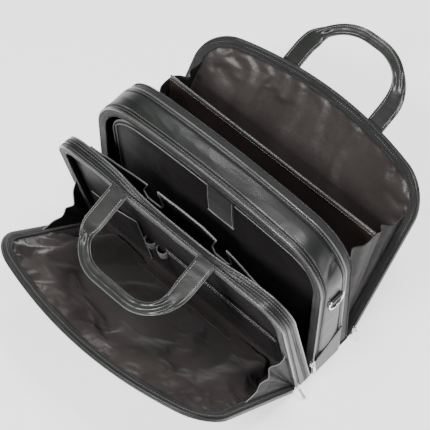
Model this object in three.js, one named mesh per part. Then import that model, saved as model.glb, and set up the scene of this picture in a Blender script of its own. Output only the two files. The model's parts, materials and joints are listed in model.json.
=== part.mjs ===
// A leather laptop briefcase that stands wide open: a main gusset band in the middle, a hinged
// organiser section and a fold-down front panel before it, and a file divider and a fold-back
// rear panel behind it. Units are millimetres, +Z is up and the front of the bag faces -Y.
import * as THREE from 'three';

// ---- Driving dimensions ----
const BAG_WIDTH = 430;
const HALF_WIDTH = BAG_WIDTH / 2;
const LEATHER = 2;
const LINING = 1;
const CLEARANCE = 0.4;         // between pieces that touch on the real bag
const PIPING = 3;              // diameter of the piping cords
const TAPE = 1.2;              // thickness of a zip tape with its teeth
const TAPE_BORDER = 12;        // zip tape that lies in the plane of an opening
const SHOULDER_INSET = LEATHER + 0.2;
const WALL_INSET = LEATHER + 1.2;    // the walls clear the facets of the bands round them

// Arched outlines: apex height, corner radius and how far the top is crowned.
const MAIN_ARCH = { height: 316, corner: 79, crown: 19 };
const SECTION_ARCH = { height: 286, corner: 45, crown: 8 };
const FRONT_ARCH = { height: 269, corner: 60, crown: 24 };
const REAR_ARCH = { height: 298, corner: 66, crown: 25 };

// Planes across the bag: where they stand at the floor and how they lean, as dy/dz.
const mainFront = () => -43;
const mainRear = (z) => 15 - 0.042 * z;
const mainRearTape = (z) => 36 - 0.066 * z;
const wallFront = (z) => mainRear(z) - 7;
const sectionFront = (z) => -76 - 0.19 * z;
const sectionRear = (z) => -50.2 - 0.213 * z;
const organiserFront = (z) => -65 - 0.2 * z;

// Panels and divider: hinge line, lean from upright, and bow of the top edge.
const FRONT_PANEL = { y: -84, z: 5.5, lean: -47, bow: -29 };
const REAR_PANEL = { y: 39.5, z: 4.2, lean: 32, bow: 30 };
const DIVIDER = { y: 34, z: 9, lean: 14.2, width: 396, height: 222 };
const REAR_PIVOT = { y: 38, z: 2 };
const FRONT_PIVOT = { y: -79, z: 4 };

const BOW_HEIGHT = 300;        // height at which a panel's bow is measured

// Both handles are the same strap; the front one hangs squarer than the rear one stands.
const HANDLE = { spacing: 164, strap: 30, grip: 17, flat: 3.5, rolled: 8.5 };
const FRONT_LOOP = { reach: 106, bend: 54 };
const REAR_LOOP = { reach: 100, bend: 72 };

const BLACK_LEATHER = { color: 0x1b1d1c, roughness: 0.42, metalness: 0 };
const LINING_CLOTH = { color: 0x2a2524, roughness: 0.6, metalness: 0 };
const DIVIDER_HIDE = { color: 0x2b2421, roughness: 0.55, metalness: 0 };
const ZIP_TAPE = { color: 0x101010, roughness: 0.8, metalness: 0 };
const NICKEL = { color: 0xc4c6c8, roughness: 0.25, metalness: 1 };
const STIFFENER = { color: 0x3a3a38, roughness: 0.9, metalness: 0 };

// ---- Geometry helpers ----
// A closed solid between two faces given as grids of points, [column][row].
function solidBetween(near, far) {
  const columns = near.length;
  const rows = near[0].length;
  const positions = [];
  for (const face of [near, far]) {
    for (const column of face) for (const p of column) positions.push(p.x, p.y, p.z);
  }
  const at = (side, i, j) => side * columns * rows + i * rows + j;
  const index = [];
  const quad = (a, b, c, d) => index.push(a, b, c, a, c, d);
  for (let i = 0; i < columns - 1; i++) {
    for (let j = 0; j < rows - 1; j++) {
      quad(at(0, i, j), at(0, i + 1, j), at(0, i + 1, j + 1), at(0, i, j + 1));
      quad(at(1, i, j), at(1, i, j + 1), at(1, i + 1, j + 1), at(1, i + 1, j));
    }
    quad(at(0, i, 0), at(1, i, 0), at(1, i + 1, 0), at(0, i + 1, 0));
    quad(at(0, i, rows - 1), at(0, i + 1, rows - 1), at(1, i + 1, rows - 1), at(1, i, rows - 1));
  }
  for (let j = 0; j < rows - 1; j++) {
    quad(at(0, 0, j), at(0, 0, j + 1), at(1, 0, j + 1), at(1, 0, j));
    quad(at(0, columns - 1, j), at(1, columns - 1, j), at(1, columns - 1, j + 1), at(0, columns - 1, j + 1));
  }
  const geometry = new THREE.BufferGeometry();
  geometry.setAttribute('position', new THREE.Float32BufferAttribute(positions, 3));
  geometry.setIndex(facesOut(positions, index));
  return geometry;
}

// Turns every triangle round when the volume comes out negative.
function facesOut(positions, index) {
  const corner = (k) => new THREE.Vector3().fromArray(positions, 3 * index[k]);
  let volume = 0;
  for (let k = 0; k < index.length; k += 3) {
    volume += corner(k).dot(corner(k + 1).cross(corner(k + 2)));
  }
  return volume < 0 ? index.reverse() : index;
}

// Where an arch's corner arcs and its crown arc are centred.
function archCentres({ height, corner, crown }) {
  const radius = (HALF_WIDTH ** 2 / crown + crown) / 2;
  const centre = height - radius;
  const cornerX = HALF_WIDTH - corner;
  const cornerZ = centre + Math.sqrt((radius - corner) ** 2 - cornerX ** 2);
  return { radius, centre, cornerX, cornerZ };
}

// The arch as points in X and Z, from the left foot over the top to the right foot.
function archPoints(arch, inset, foot) {
  const { radius, centre, cornerX, cornerZ } = archCentres(arch);
  const turn = Math.atan2(cornerZ - centre, -cornerX);
  const path = new THREE.Path();
  path.moveTo(inset - HALF_WIDTH, foot);
  path.lineTo(inset - HALF_WIDTH, cornerZ);
  path.absarc(-cornerX, cornerZ, arch.corner - inset, Math.PI, turn, true);
  path.absarc(0, centre, radius - inset, turn, Math.PI - turn, true);
  path.absarc(cornerX, cornerZ, arch.corner - inset, Math.PI - turn, 0, true);
  path.lineTo(HALF_WIDTH - inset, foot);
  return path.getPoints(3);
}

// The arch's height over one place across the bag.
function archTop(arch, inset, x) {
  const { radius, centre, cornerX, cornerZ } = archCentres(arch);
  const out = Math.abs(x) - cornerX;
  const r = arch.corner - inset;
  const turnX = cornerX + arch.corner * cornerX / (radius - arch.corner);
  if (Math.abs(x) < turnX) return centre + Math.sqrt((radius - inset) ** 2 - x * x);
  return cornerZ + Math.sqrt(Math.max(r * r - out * out, 0));
}

// A strip that follows an arch between two insets and between two planes across the bag.
function archStrip(arch, outer, inner, front, rear, foot) {
  const side = (inset) => archPoints(arch, inset, foot).map((p) => [
    new THREE.Vector3(p.x, front(p.y), p.y),
    new THREE.Vector3(p.x, rear(p.y), p.y),
  ]);
  return solidBetween(side(outer), side(inner));
}

// A sheet across the bag, from its foot to a top line, with a front surface y = front(x, z).
function sheetAcross({ left, right, columns, rows, foot, top, front, thickness }) {
  const face = (offset) => Array.from({ length: columns + 1 }, (_, i) => {
    const across = Math.sin(Math.PI * (i / columns - 0.5));
    const x = (left + right) / 2 + (right - left) / 2 * across;
    return Array.from({ length: rows + 1 }, (__, j) => {
      const z = foot + (top(x) - foot) * j / rows;
      return new THREE.Vector3(x, front(x, z) + offset, z);
    });
  });
  return solidBetween(face(0), face(thickness));
}

// An arched sheet that fills an outline to the given inset.
function archSheet(arch, inset, front, thickness, foot, columns = 16, rows = 3) {
  const reach = HALF_WIDTH - inset;
  const top = (x) => archTop(arch, inset, x);
  return sheetAcross({ left: -reach, right: reach, columns, rows, foot, top, front, thickness });
}

// A gusset: a fan of cloth about a hinge line, between two leans, with a hollow free edge.
function fan({ pivot, from, to, start, reach, hollow, x0, x1, thickness }) {
  const steps = 4;
  const face = (offset) => Array.from({ length: steps + 1 }, (_, i) => {
    const t = i / steps;
    const lean = THREE.MathUtils.degToRad(from + (to - from) * t);
    const far = reach - hollow * Math.sin(Math.PI * t);
    return Array.from({ length: steps + 1 }, (__, j) => {
      const r = start + (far - start) * j / steps;
      const x = x0 + (x1 - x0) * t + offset;
      return new THREE.Vector3(x, pivot.y + r * Math.sin(lean), pivot.z + r * Math.cos(lean));
    });
  });
  return solidBetween(face(0), face(thickness));
}

function box(x0, x1, y0, y1, z0, z1) {
  const geometry = new THREE.BoxGeometry(x1 - x0, y1 - y0, z1 - z0);
  geometry.translate((x0 + x1) / 2, (y0 + y1) / 2, (z0 + z1) / 2);
  return geometry;
}

// ---- Scene graph ----
const briefcase = new THREE.Group();

function add(group, name, geometry, finish) {
  const mesh = new THREE.Mesh(geometry, new THREE.MeshStandardMaterial(finish));
  mesh.name = name;
  group.add(mesh);
  return mesh;
}

// A group that leans about its hinge line: positive leans back, towards +Y.
function leaningGroup({ y, z, lean }) {
  const group = new THREE.Group();
  group.position.set(0, y, z);
  group.rotation.x = -THREE.MathUtils.degToRad(lean);
  briefcase.add(group);
  return group;
}

// ---- Main body ----
const BASE_FOOT = 2.4;
const FLAP_TOP = 60;

// The base leather turns up at both ends, as a flap over the foot of the band.
function baseTray(front, rear, flapFront, flapRear) {
  const outline = (lift) => [
    [-HALF_WIDTH - lift, 'flap'], [-HALF_WIDTH - lift, 'floor'],
    [HALF_WIDTH + lift, 'floor'], [HALF_WIDTH + lift, 'flap'],
  ];
  const face = (lift, floor) => outline(lift).map(([x, level]) => {
    const height = (edge) => (level === 'floor' ? floor : edge);
    return [
      new THREE.Vector3(x, front, height(flapFront)),
      new THREE.Vector3(x, rear, height(flapRear)),
    ];
  });
  return solidBetween(face(LEATHER + 0.4, 0), face(0.4, LEATHER));
}

add(briefcase, 'main_base', baseTray(-43, 11.4, FLAP_TOP - 12, FLAP_TOP + 20), BLACK_LEATHER);
add(briefcase, 'base_board', box(-206, 206, -40, 7, BASE_FOOT, BASE_FOOT + 3), STIFFENER);
add(briefcase, 'rear_base', box(-HALF_WIDTH, HALF_WIDTH, 11.8, 37, 0, LEATHER), BLACK_LEATHER);
add(briefcase, 'main_band', archStrip(MAIN_ARCH, 0, LEATHER, mainFront, mainRear, BASE_FOOT), BLACK_LEATHER);
const bandLiningRear = (z) => wallFront(z) - CLEARANCE;
add(briefcase, 'main_lining', archStrip(MAIN_ARCH, SHOULDER_INSET + 0.1, SHOULDER_INSET + 0.1 + LINING,
  mainFront, bandLiningRear, BASE_FOOT), LINING_CLOTH);
add(briefcase, 'main_front_piping', archStrip(MAIN_ARCH, -1, PIPING - 1,
  () => mainFront() - 0.3 - PIPING, () => mainFront() - 0.3, BASE_FOOT), BLACK_LEATHER);
add(briefcase, 'main_rear_piping', archStrip(MAIN_ARCH, -1, PIPING - 1,
  (z) => mainRear(z) + 0.3, (z) => mainRear(z) + 0.3 + PIPING, BASE_FOOT), BLACK_LEATHER);
add(briefcase, 'laptop_zip_tape_rear', archStrip(MAIN_ARCH, SHOULDER_INSET, SHOULDER_INSET + TAPE_BORDER,
  () => mainFront() - 0.3 - TAPE, () => mainFront() - 0.3, BASE_FOOT), ZIP_TAPE);
add(briefcase, 'rear_zip_tape_main', archStrip(MAIN_ARCH, SHOULDER_INSET, SHOULDER_INSET + TAPE,
  (z) => mainRear(z) + 0.3, mainRearTape, BASE_FOOT), ZIP_TAPE);
add(briefcase, 'laptop_back_wall', archSheet(MAIN_ARCH, WALL_INSET,
  (x, z) => wallFront(z), 6.5, BASE_FOOT), LINING_CLOTH);

// A padded sleeve stands in front of the wall, and a strap from the wall comes over its top edge.
const SLEEVE = { inset: 15, drop: 21, foot: 8, pad: 3 };
const sleeveFront = (z) => -20 - 0.055 * z;
const sleeveTop = (x) => archTop(MAIN_ARCH, SLEEVE.inset, x) - SLEEVE.drop;
add(briefcase, 'laptop_sleeve', sheetAcross({ left: SLEEVE.inset - HALF_WIDTH, right: HALF_WIDTH - SLEEVE.inset,
  columns: 16, rows: 2, foot: SLEEVE.foot, top: sleeveTop, front: (x, z) => sleeveFront(z), thickness: SLEEVE.pad }),
LINING_CLOTH);
const STRAP = { left: -6, right: 44, end: 208, lift: 1, thick: 2, corner: 5 };

// The strap as a bent strip: up the sleeve's front, over its top edge and back to the wall.
function strapGeometry() {
  const crest = sleeveTop(STRAP.right) + STRAP.corner;
  const face = (out) => [STRAP.left, STRAP.right].map((x) => [
    new THREE.Vector3(x, sleeveFront(STRAP.end) - out, STRAP.end),
    new THREE.Vector3(x, sleeveFront(crest) - out, crest - STRAP.corner),
    new THREE.Vector3(x, sleeveFront(crest) + STRAP.corner - out, crest + out),
    new THREE.Vector3(x, wallFront(crest) - 2, crest + out),
  ]);
  return solidBetween(face(STRAP.lift), face(STRAP.lift + STRAP.thick));
}
add(briefcase, 'laptop_strap', strapGeometry(), BLACK_LEATHER);

// ---- D-rings on leather tabs ----
const RING = { y: -15, bar: 203, wire: 3.4, wide: 32, drop: 25, x: HALF_WIDTH + 3.1 };
const TAB = { wide: 22, end: 172, wall: 1.4, hole: 5.6 };

// The ring in its own plane: a straight bar at the top and a round bottom.
function ringOutline(inset) {
  const half = RING.wide / 2 - inset;
  const shape = new THREE.Path();
  shape.moveTo(-half, RING.wire / 2 - inset);
  shape.lineTo(-half, RING.wide / 2 - RING.drop);
  shape.absarc(0, RING.wide / 2 - RING.drop, half, Math.PI, 2 * Math.PI, false);
  shape.lineTo(half, RING.wire / 2 - inset);
  shape.closePath();
  return shape;
}

function ringGeometry() {
  const shape = new THREE.Shape(ringOutline(0).getPoints(5));
  shape.holes.push(new THREE.Path(ringOutline(RING.wire).getPoints(5)));
  const geometry = new THREE.ExtrudeGeometry(shape, { depth: RING.wire, bevelEnabled: false });
  geometry.translate(0, 0, -RING.wire / 2);
  geometry.rotateX(Math.PI / 2);
  geometry.rotateZ(Math.PI / 2);
  return geometry;
}

// The tab wraps the bar: a plate behind the ring, with a square eye at its top.
function tabGeometry() {
  const deep = TAB.hole + 2 * TAB.wall;
  const high = RING.bar + deep / 2;
  const shape = new THREE.Shape();
  shape.moveTo(0, TAB.end);
  shape.lineTo(TAB.wall, TAB.end);
  shape.lineTo(TAB.wall, high - deep);
  shape.lineTo(deep, high - deep);
  shape.lineTo(deep, high);
  shape.lineTo(0, high);
  shape.closePath();
  const eye = new THREE.Path();
  const eyeLow = RING.bar - TAB.hole / 2;
  eye.moveTo(TAB.wall, eyeLow);
  eye.lineTo(TAB.wall, eyeLow + TAB.hole);
  eye.lineTo(TAB.wall + TAB.hole, eyeLow + TAB.hole);
  eye.lineTo(TAB.wall + TAB.hole, eyeLow);
  eye.closePath();
  shape.holes.push(eye);
  const geometry = new THREE.ExtrudeGeometry(shape, { depth: TAB.wide, bevelEnabled: false });
  geometry.rotateX(Math.PI / 2);
  geometry.translate(0, TAB.wide / 2, 0);
  return geometry;
}

const SIDES = { left: -1, right: 1 };
for (const [side, sign] of Object.entries(SIDES)) {
  const turned = new THREE.Group();
  turned.position.set(sign * (HALF_WIDTH + CLEARANCE), RING.y, 0);
  turned.rotation.z = sign > 0 ? 0 : Math.PI;
  briefcase.add(turned);
  add(turned, `d_ring_tab_${side}`, tabGeometry(), BLACK_LEATHER);
  const ring = add(turned, `d_ring_${side}`, ringGeometry(), NICKEL);
  ring.position.set(TAB.wall + TAB.hole / 2, 0, RING.bar);
}

// ---- Front organiser section ----
const shiftedPlane = (plane, shift) => (z) => plane(z) + shift;
add(briefcase, 'section_base', box(-HALF_WIDTH, HALF_WIDTH, -78.5, -47, 0, LEATHER), BLACK_LEATHER);
add(briefcase, 'section_band', archStrip(SECTION_ARCH, 0, LEATHER, sectionFront, sectionRear, BASE_FOOT),
  BLACK_LEATHER);
add(briefcase, 'section_lining', archStrip(SECTION_ARCH, SHOULDER_INSET + 0.1, SHOULDER_INSET + 0.1 + LINING,
  sectionFront, shiftedPlane(organiserFront, -CLEARANCE), BASE_FOOT), LINING_CLOTH);
add(briefcase, 'section_front_piping', archStrip(SECTION_ARCH, -1, PIPING - 1,
  shiftedPlane(sectionFront, -0.3 - PIPING), shiftedPlane(sectionFront, -0.3), BASE_FOOT), BLACK_LEATHER);
add(briefcase, 'section_rear_piping', archStrip(SECTION_ARCH, -1, PIPING - 1,
  shiftedPlane(sectionRear, 0.3), shiftedPlane(sectionRear, 0.3 + PIPING), BASE_FOOT), BLACK_LEATHER);
add(briefcase, 'front_zip_tape_section', archStrip(SECTION_ARCH, SHOULDER_INSET, SHOULDER_INSET + TAPE_BORDER,
  shiftedPlane(sectionFront, -0.3 - TAPE), shiftedPlane(sectionFront, -0.3), BASE_FOOT), ZIP_TAPE);
add(briefcase, 'laptop_zip_tape_front', archStrip(SECTION_ARCH, SHOULDER_INSET, SHOULDER_INSET + TAPE_BORDER,
  shiftedPlane(sectionRear, 0.3), shiftedPlane(sectionRear, 0.3 + TAPE), BASE_FOOT), ZIP_TAPE);
add(briefcase, 'organiser_wall', archSheet(SECTION_ARCH, WALL_INSET,
  (x, z) => organiserFront(z), 3, BASE_FOOT), LINING_CLOTH);

// The document pocket gapes behind the organiser wall. Its top edge runs from left to right through
// these points, and each thumb notch has a narrow mouth over a wider hollow.
const POCKET_EDGE = [[-196, 224], [-150, 233], [-110, 240], [-40, 244], [25, 244], [85, 231], [125, 214], [196, 196]];
const NOTCH = { centres: [-72, 60], mouth: 10, hollow: 20, waist: 27, base: 13, depth: 40 };
const POCKET_FOOT = 12;
const documentFront = (z) => -63.2 - 0.075 * z;

function pocketTop(x) {
  const k = Math.max(1, POCKET_EDGE.findIndex((point) => point[0] >= x));
  const [from, to] = [POCKET_EDGE[k - 1], POCKET_EDGE[k]];
  return from[1] + (to[1] - from[1]) * (x - from[0]) / (to[0] - from[0]);
}

function notchEdge(centre) {
  const top = pocketTop(centre);
  const side = (sign) => [
    [centre + sign * NOTCH.mouth, pocketTop(centre + sign * NOTCH.mouth)],
    [centre + sign * NOTCH.hollow, top - NOTCH.waist],
    [centre + sign * NOTCH.base, top - NOTCH.depth],
  ];
  return [...side(-1), ...side(1).reverse()];
}

// A flat plate between two planes that lean with z, from its outline in x and z.
function plateBetween(outline, front, thickness) {
  const flat = outline.map(([x, z]) => new THREE.Vector2(x, z));
  if (THREE.ShapeUtils.area(flat) < 0) flat.reverse();
  const count = flat.length;
  const points = [0, thickness].flatMap((offset) => flat.flatMap(({ x, y: z }) => [x, front(z) + offset, z]));
  const index = THREE.ShapeUtils.triangulateShape(flat, []).flatMap(([a, b, c]) => (
    [a, b, c, c + count, b + count, a + count]));
  for (let i = 0; i < count; i += 1) {
    const next = (i + 1) % count;
    index.push(i, i + count, next + count, i, next + count, next);
  }
  const plate = new THREE.BufferGeometry();
  plate.setAttribute('position', new THREE.Float32BufferAttribute(points, 3));
  plate.setIndex(facesOut(points, index));
  return plate;
}

function notchedPocket() {
  const top = POCKET_EDGE.flatMap((point, k) => {
    const after = k + 1 < POCKET_EDGE.length ? POCKET_EDGE[k + 1][0] : Infinity;
    return [point, ...NOTCH.centres.filter((x) => x > point[0] && x < after).flatMap(notchEdge)];
  });
  const foot = [[POCKET_EDGE.at(-1)[0], POCKET_FOOT], [POCKET_EDGE[0][0], POCKET_FOOT]];
  return plateBetween([...top, ...foot], documentFront, LINING);
}
add(briefcase, 'notched_pocket', notchedPocket(), LINING_CLOTH);

// Organiser pockets on the front of the wall.
add(briefcase, 'slip_pocket', sheetAcross({ left: -190, right: -88, columns: 4, rows: 1, foot: 12,
  top: (x) => 120 + 0.35 * (x + 190), front: (x, z) => organiserFront(z) - 2, thickness: 1.2 }),
LINING_CLOTH);
add(briefcase, 'organiser_zip_pocket', sheetAcross({ left: -30, right: 185, columns: 4, rows: 1, foot: 12,
  top: () => 150, front: (x, z) => organiserFront(z) - 2.4, thickness: 1.6 }), LINING_CLOTH);

// Pen loops: half-round elastic loops that stand out of the wall.
const PEN_LOOP = { x: [-70, -46], z: 96, tall: 20, outer: 10.5, inner: 9.2 };
function penLoop(centre) {
  const shape = new THREE.Shape();
  shape.absarc(0, 0, PEN_LOOP.outer, Math.PI, 2 * Math.PI, false);
  shape.lineTo(PEN_LOOP.inner, 0);
  shape.absarc(0, 0, PEN_LOOP.inner, 2 * Math.PI, Math.PI, true);
  shape.closePath();
  const outline = new THREE.Shape(shape.getPoints(4));
  const geometry = new THREE.ExtrudeGeometry(outline, { depth: PEN_LOOP.tall, bevelEnabled: false });
  const position = geometry.attributes.position;
  for (let i = 0; i < position.count; i++) {
    const z = position.getZ(i) + PEN_LOOP.z;
    position.setXYZ(i, position.getX(i) + centre, organiserFront(z) - CLEARANCE + position.getY(i), z);
  }
  return geometry;
}
PEN_LOOP.x.forEach((centre, i) => add(briefcase, `pen_loop_${i + 1}`, penLoop(centre), ZIP_TAPE));

// ---- Fold-down front panel and fold-back rear panel ----
// Each panel is leather, foam and lining, with piping and zip tape round its edge. Its inner
// surface is at local y = 0, and outward is -1 for the front panel and +1 for the rear one.
const LAYERS = { lining: [0, 1.2], foam: [1.6, 4.4], leather: [4.8, 6.8], piping: [2, 5], tape: [-1.6, -0.4] };

function panelPieces(group, name, arch, bow, outward) {
  const foot = 3;
  const bowed = (x, z) => bow * (1 - (x / HALF_WIDTH) ** 2) * z / BOW_HEIGHT;
  const layer = ([inner, outer], inset) => {
    const low = Math.min(outward * inner, outward * outer);
    return archSheet(arch, inset, (x, z) => bowed(x, z) + low, outer - inner, foot, 18, 1);
  };
  const edge = ([inner, outer], from, to) => {
    const low = Math.min(outward * inner, outward * outer);
    const side = (inset) => archPoints(arch, inset, foot).map((p) => [
      new THREE.Vector3(p.x, bowed(p.x, p.y) + low, p.y),
      new THREE.Vector3(p.x, bowed(p.x, p.y) + low + outer - inner, p.y),
    ]);
    return solidBetween(side(from), side(to));
  };
  add(group, `${name}_leather`, layer(LAYERS.leather, 1.8), BLACK_LEATHER);
  add(group, `${name}_foam`, layer(LAYERS.foam, 3.5), STIFFENER);
  add(group, `${name}_lining`, layer(LAYERS.lining, 1.8), LINING_CLOTH);
  add(group, `${name}_piping`, edge(LAYERS.piping, -1.2, 1.4), BLACK_LEATHER);
  add(group, `${name}_zip_tape`, edge(LAYERS.tape, 2.2, 2.2 + TAPE_BORDER), ZIP_TAPE);
}

const frontPanel = leaningGroup(FRONT_PANEL);
panelPieces(frontPanel, 'front_panel', FRONT_ARCH, FRONT_PANEL.bow, -1);
const rearPanel = leaningGroup(REAR_PANEL);
panelPieces(rearPanel, 'rear_panel', REAR_ARCH, REAR_PANEL.bow, 1);

// ---- File divider, with a bound top edge ----
const divider = leaningGroup(DIVIDER);
add(divider, 'file_divider', box(-DIVIDER.width / 2, DIVIDER.width / 2, -1, 1, 0, DIVIDER.height), DIVIDER_HIDE);
add(divider, 'divider_binding', box(-DIVIDER.width / 2, DIVIDER.width / 2, -1.6, 1.6,
  DIVIDER.height + CLEARANCE, DIVIDER.height + CLEARANCE + 3), BLACK_LEATHER);

// ---- Gussets ----
const GUSSETS = {
  front_gusset: { pivot: FRONT_PIVOT, from: -13, to: -43, start: 25, reach: 140, hollow: 26, x0: 211, x1: 211 },
  inner_rear_gusset: { pivot: REAR_PIVOT, from: -1.5, to: 12, start: 15, reach: 224, hollow: 8, x0: 210, x1: 201 },
  outer_rear_gusset: { pivot: REAR_PIVOT, from: 14, to: 28.3, start: 24, reach: 224, hollow: 12, x0: 201, x1: 202 },
};
for (const [name, gusset] of Object.entries(GUSSETS)) {
  for (const [side, sign] of Object.entries(SIDES)) {
    const placed = { ...gusset, x0: sign * gusset.x0, x1: sign * gusset.x1, thickness: sign * LINING };
    add(briefcase, `${name}_${side}`, fan(placed), LINING_CLOTH);
  }
}

// ---- Handles ----
// A flat strap in the plane of the handle: two wide legs that turn into a narrow grip.
function handleGeometry({ reach, bend }) {
  const { spacing, strap: legWidth, grip, flat, rolled } = HANDLE;
  const half = spacing / 2;
  const path = new THREE.Path();
  path.moveTo(-half, 1);
  path.lineTo(-half, reach - bend);
  path.absarc(bend - half, reach - bend, bend, Math.PI, Math.PI / 2, true);
  path.lineTo(half - bend, reach);
  path.absarc(half - bend, reach - bend, bend, Math.PI / 2, 0, true);
  path.lineTo(half, 1);
  const steps = 36;
  const face = (offset) => Array.from({ length: steps + 1 }, (_, i) => {
    const t = i / steps;
    const centre = path.getPointAt(t);
    const along = path.getTangentAt(t);
    const turned = THREE.MathUtils.smoothstep(Math.min(t, 1 - t), 0.12, 0.34);
    const width = legWidth + (grip - legWidth) * turned;
    const thick = flat + (rolled - flat) * turned;
    return [-0.5, 0.5].map((edge) => new THREE.Vector3(
      centre.x - along.y * width * edge, offset * thick, centre.y + along.x * width * edge));
  });
  return solidBetween(face(-0.5), face(0.5));
}

// The front handle hangs forward from the section's front seam.
const sectionSeam = { z: 285, y: sectionFront(285) - 5.6 };
const frontHandle = leaningGroup({ ...sectionSeam, lean: -112 });
add(frontHandle, 'front_handle', handleGeometry(FRONT_LOOP), BLACK_LEATHER);

// The rear handle stands out behind from two patches stitched to the rear panel.
const REAR_HANDLE = { height: 291, out: 13.6, lean: 36, patch: 46, patchOut: 9.2, patchDrop: 6 };
const rearBow = REAR_PANEL.bow * (1 - (HANDLE.spacing / 2 / HALF_WIDTH) ** 2) * REAR_HANDLE.height / BOW_HEIGHT;
const rearHandle = new THREE.Group();
rearHandle.position.set(0, rearBow + REAR_HANDLE.out, REAR_HANDLE.height);
rearHandle.rotation.x = -THREE.MathUtils.degToRad(REAR_HANDLE.lean);
rearPanel.add(rearHandle);
add(rearHandle, 'rear_handle', handleGeometry(REAR_LOOP), BLACK_LEATHER);
for (const [side, sign] of Object.entries(SIDES)) {
  const x = sign * HANDLE.spacing / 2;
  const patchFront = (z) => REAR_PANEL.bow * (1 - (x / HALF_WIDTH) ** 2) * z / BOW_HEIGHT + REAR_HANDLE.patchOut;
  const patchTop = REAR_HANDLE.height - REAR_HANDLE.patchDrop;
  const patch = sheetAcross({ left: x - HANDLE.strap / 2, right: x + HANDLE.strap / 2, columns: 2, rows: 1,
    foot: patchTop - REAR_HANDLE.patch, top: () => patchTop,
    front: (_, z) => patchFront(z), thickness: 3 });
  add(rearPanel, `rear_handle_patch_${side}`, patch, BLACK_LEATHER);
}

// ---- Zip sliders and pulls, outside the bag at the foot of each zip ----
const SLIDER = { x: HALF_WIDTH + CLEARANCE + 2.6, deep: 5, wide: 8.5, tall: 12 };
const PULL = { thick: 1.6, wide: 6, long: 22, gap: 0.5 };
const ZIPS = {
  laptop_zip: { y: -52.5, z: 52, swing: 6, sides: ['right'] },
  front_zip: { y: -84, z: 22, swing: 38, sides: ['left', 'right'] },
  rear_zip: { y: 45, z: 26, swing: 20, sides: ['right'] },
};
for (const [zip, { y, z, swing, sides }] of Object.entries(ZIPS)) {
  for (const side of sides) {
    const sign = SIDES[side];
    const place = new THREE.Group();
    place.position.set(sign * SLIDER.x, y, z);
    place.rotation.z = sign > 0 ? 0 : Math.PI;
    briefcase.add(place);
    add(place, `${zip}_slider_${side}`, box(0, SLIDER.deep, -SLIDER.wide / 2, SLIDER.wide / 2,
      -SLIDER.tall / 2, SLIDER.tall / 2), NICKEL);
    const pull = add(place, `${zip}_pull_${side}`, box(0, PULL.thick, -PULL.wide / 2, PULL.wide / 2,
      -PULL.long, 0), NICKEL);
    pull.position.x = SLIDER.deep + PULL.gap;
    pull.rotation.y = -THREE.MathUtils.degToRad(swing);
  }
}

export default briefcase;
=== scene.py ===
"""A leather laptop briefcase standing wide open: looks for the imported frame. Sizes in millimetres."""
import json
import math

import bpy
import numpy as np
from mathutils.geometry import delaunay_2d_cdt
from mathutils import Matrix, Vector

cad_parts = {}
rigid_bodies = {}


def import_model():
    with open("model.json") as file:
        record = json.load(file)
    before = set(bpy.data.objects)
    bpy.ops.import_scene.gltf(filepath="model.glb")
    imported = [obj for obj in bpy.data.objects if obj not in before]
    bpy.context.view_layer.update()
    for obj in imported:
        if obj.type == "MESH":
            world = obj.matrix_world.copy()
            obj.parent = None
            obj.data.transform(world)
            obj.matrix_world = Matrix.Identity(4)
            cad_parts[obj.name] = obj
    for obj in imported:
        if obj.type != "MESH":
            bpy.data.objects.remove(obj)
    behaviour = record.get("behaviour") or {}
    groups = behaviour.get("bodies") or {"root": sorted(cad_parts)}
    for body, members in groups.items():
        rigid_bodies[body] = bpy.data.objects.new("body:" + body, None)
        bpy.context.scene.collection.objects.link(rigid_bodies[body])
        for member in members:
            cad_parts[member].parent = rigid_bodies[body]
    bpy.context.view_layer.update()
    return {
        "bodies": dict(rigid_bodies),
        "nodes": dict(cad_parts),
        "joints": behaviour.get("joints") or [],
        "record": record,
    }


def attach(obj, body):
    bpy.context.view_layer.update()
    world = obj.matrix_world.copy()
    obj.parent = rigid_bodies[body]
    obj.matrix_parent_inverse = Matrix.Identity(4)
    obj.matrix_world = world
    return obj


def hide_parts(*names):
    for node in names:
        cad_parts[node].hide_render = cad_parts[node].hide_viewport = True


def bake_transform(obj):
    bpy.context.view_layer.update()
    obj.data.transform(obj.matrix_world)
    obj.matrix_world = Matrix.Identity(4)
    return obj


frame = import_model()

MM = 0.001
HALF_WIDTH = 215.0
PIPING_RADIUS = 1.7
SIDES = {"left": -1, "right": 1}

MAIN_ARCH = {"height": 316.0, "corner": 79.0, "crown": 19.0}
SECTION_ARCH = {"height": 286.0, "corner": 45.0, "crown": 8.0}
FRONT_ARCH = {"height": 269.0, "corner": 60.0, "crown": 24.0}
REAR_ARCH = {"height": 298.0, "corner": 66.0, "crown": 25.0}

FRONT_PANEL = {"y": -84.0, "z": 5.5, "lean": -47.0, "bow": -29.0, "out": -1, "arch": FRONT_ARCH,
               "growth": 0.05, "lift": 13.0}
REAR_PANEL = {"y": 39.5, "z": 4.2, "lean": 32.0, "bow": 30.0, "out": 1, "arch": REAR_ARCH,
              "growth": 0.018, "lift": 6.0}
DIVIDER = {"y": 34.0, "z": 9.0, "lean": 14.2, "width": 396.0, "height": 222.0}
FRONT_PIVOT = (-79.0, 4.0)
REAR_PIVOT = (38.0, 2.0)
FOOT, PANEL_FOOT = 2.4, 3.0


def main_front(z):
    return -43.0 + 0 * z


def main_rear(z):
    return 15 - 0.042 * z


def main_rear_tape(z):
    return 36 - 0.066 * z


def wall_front(z):
    return main_rear(z) - 7


def section_front(z):
    return -76 - 0.19 * z


def section_rear(z):
    return -50.2 - 0.213 * z


def organiser_front(z):
    return -65 - 0.2 * z


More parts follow.
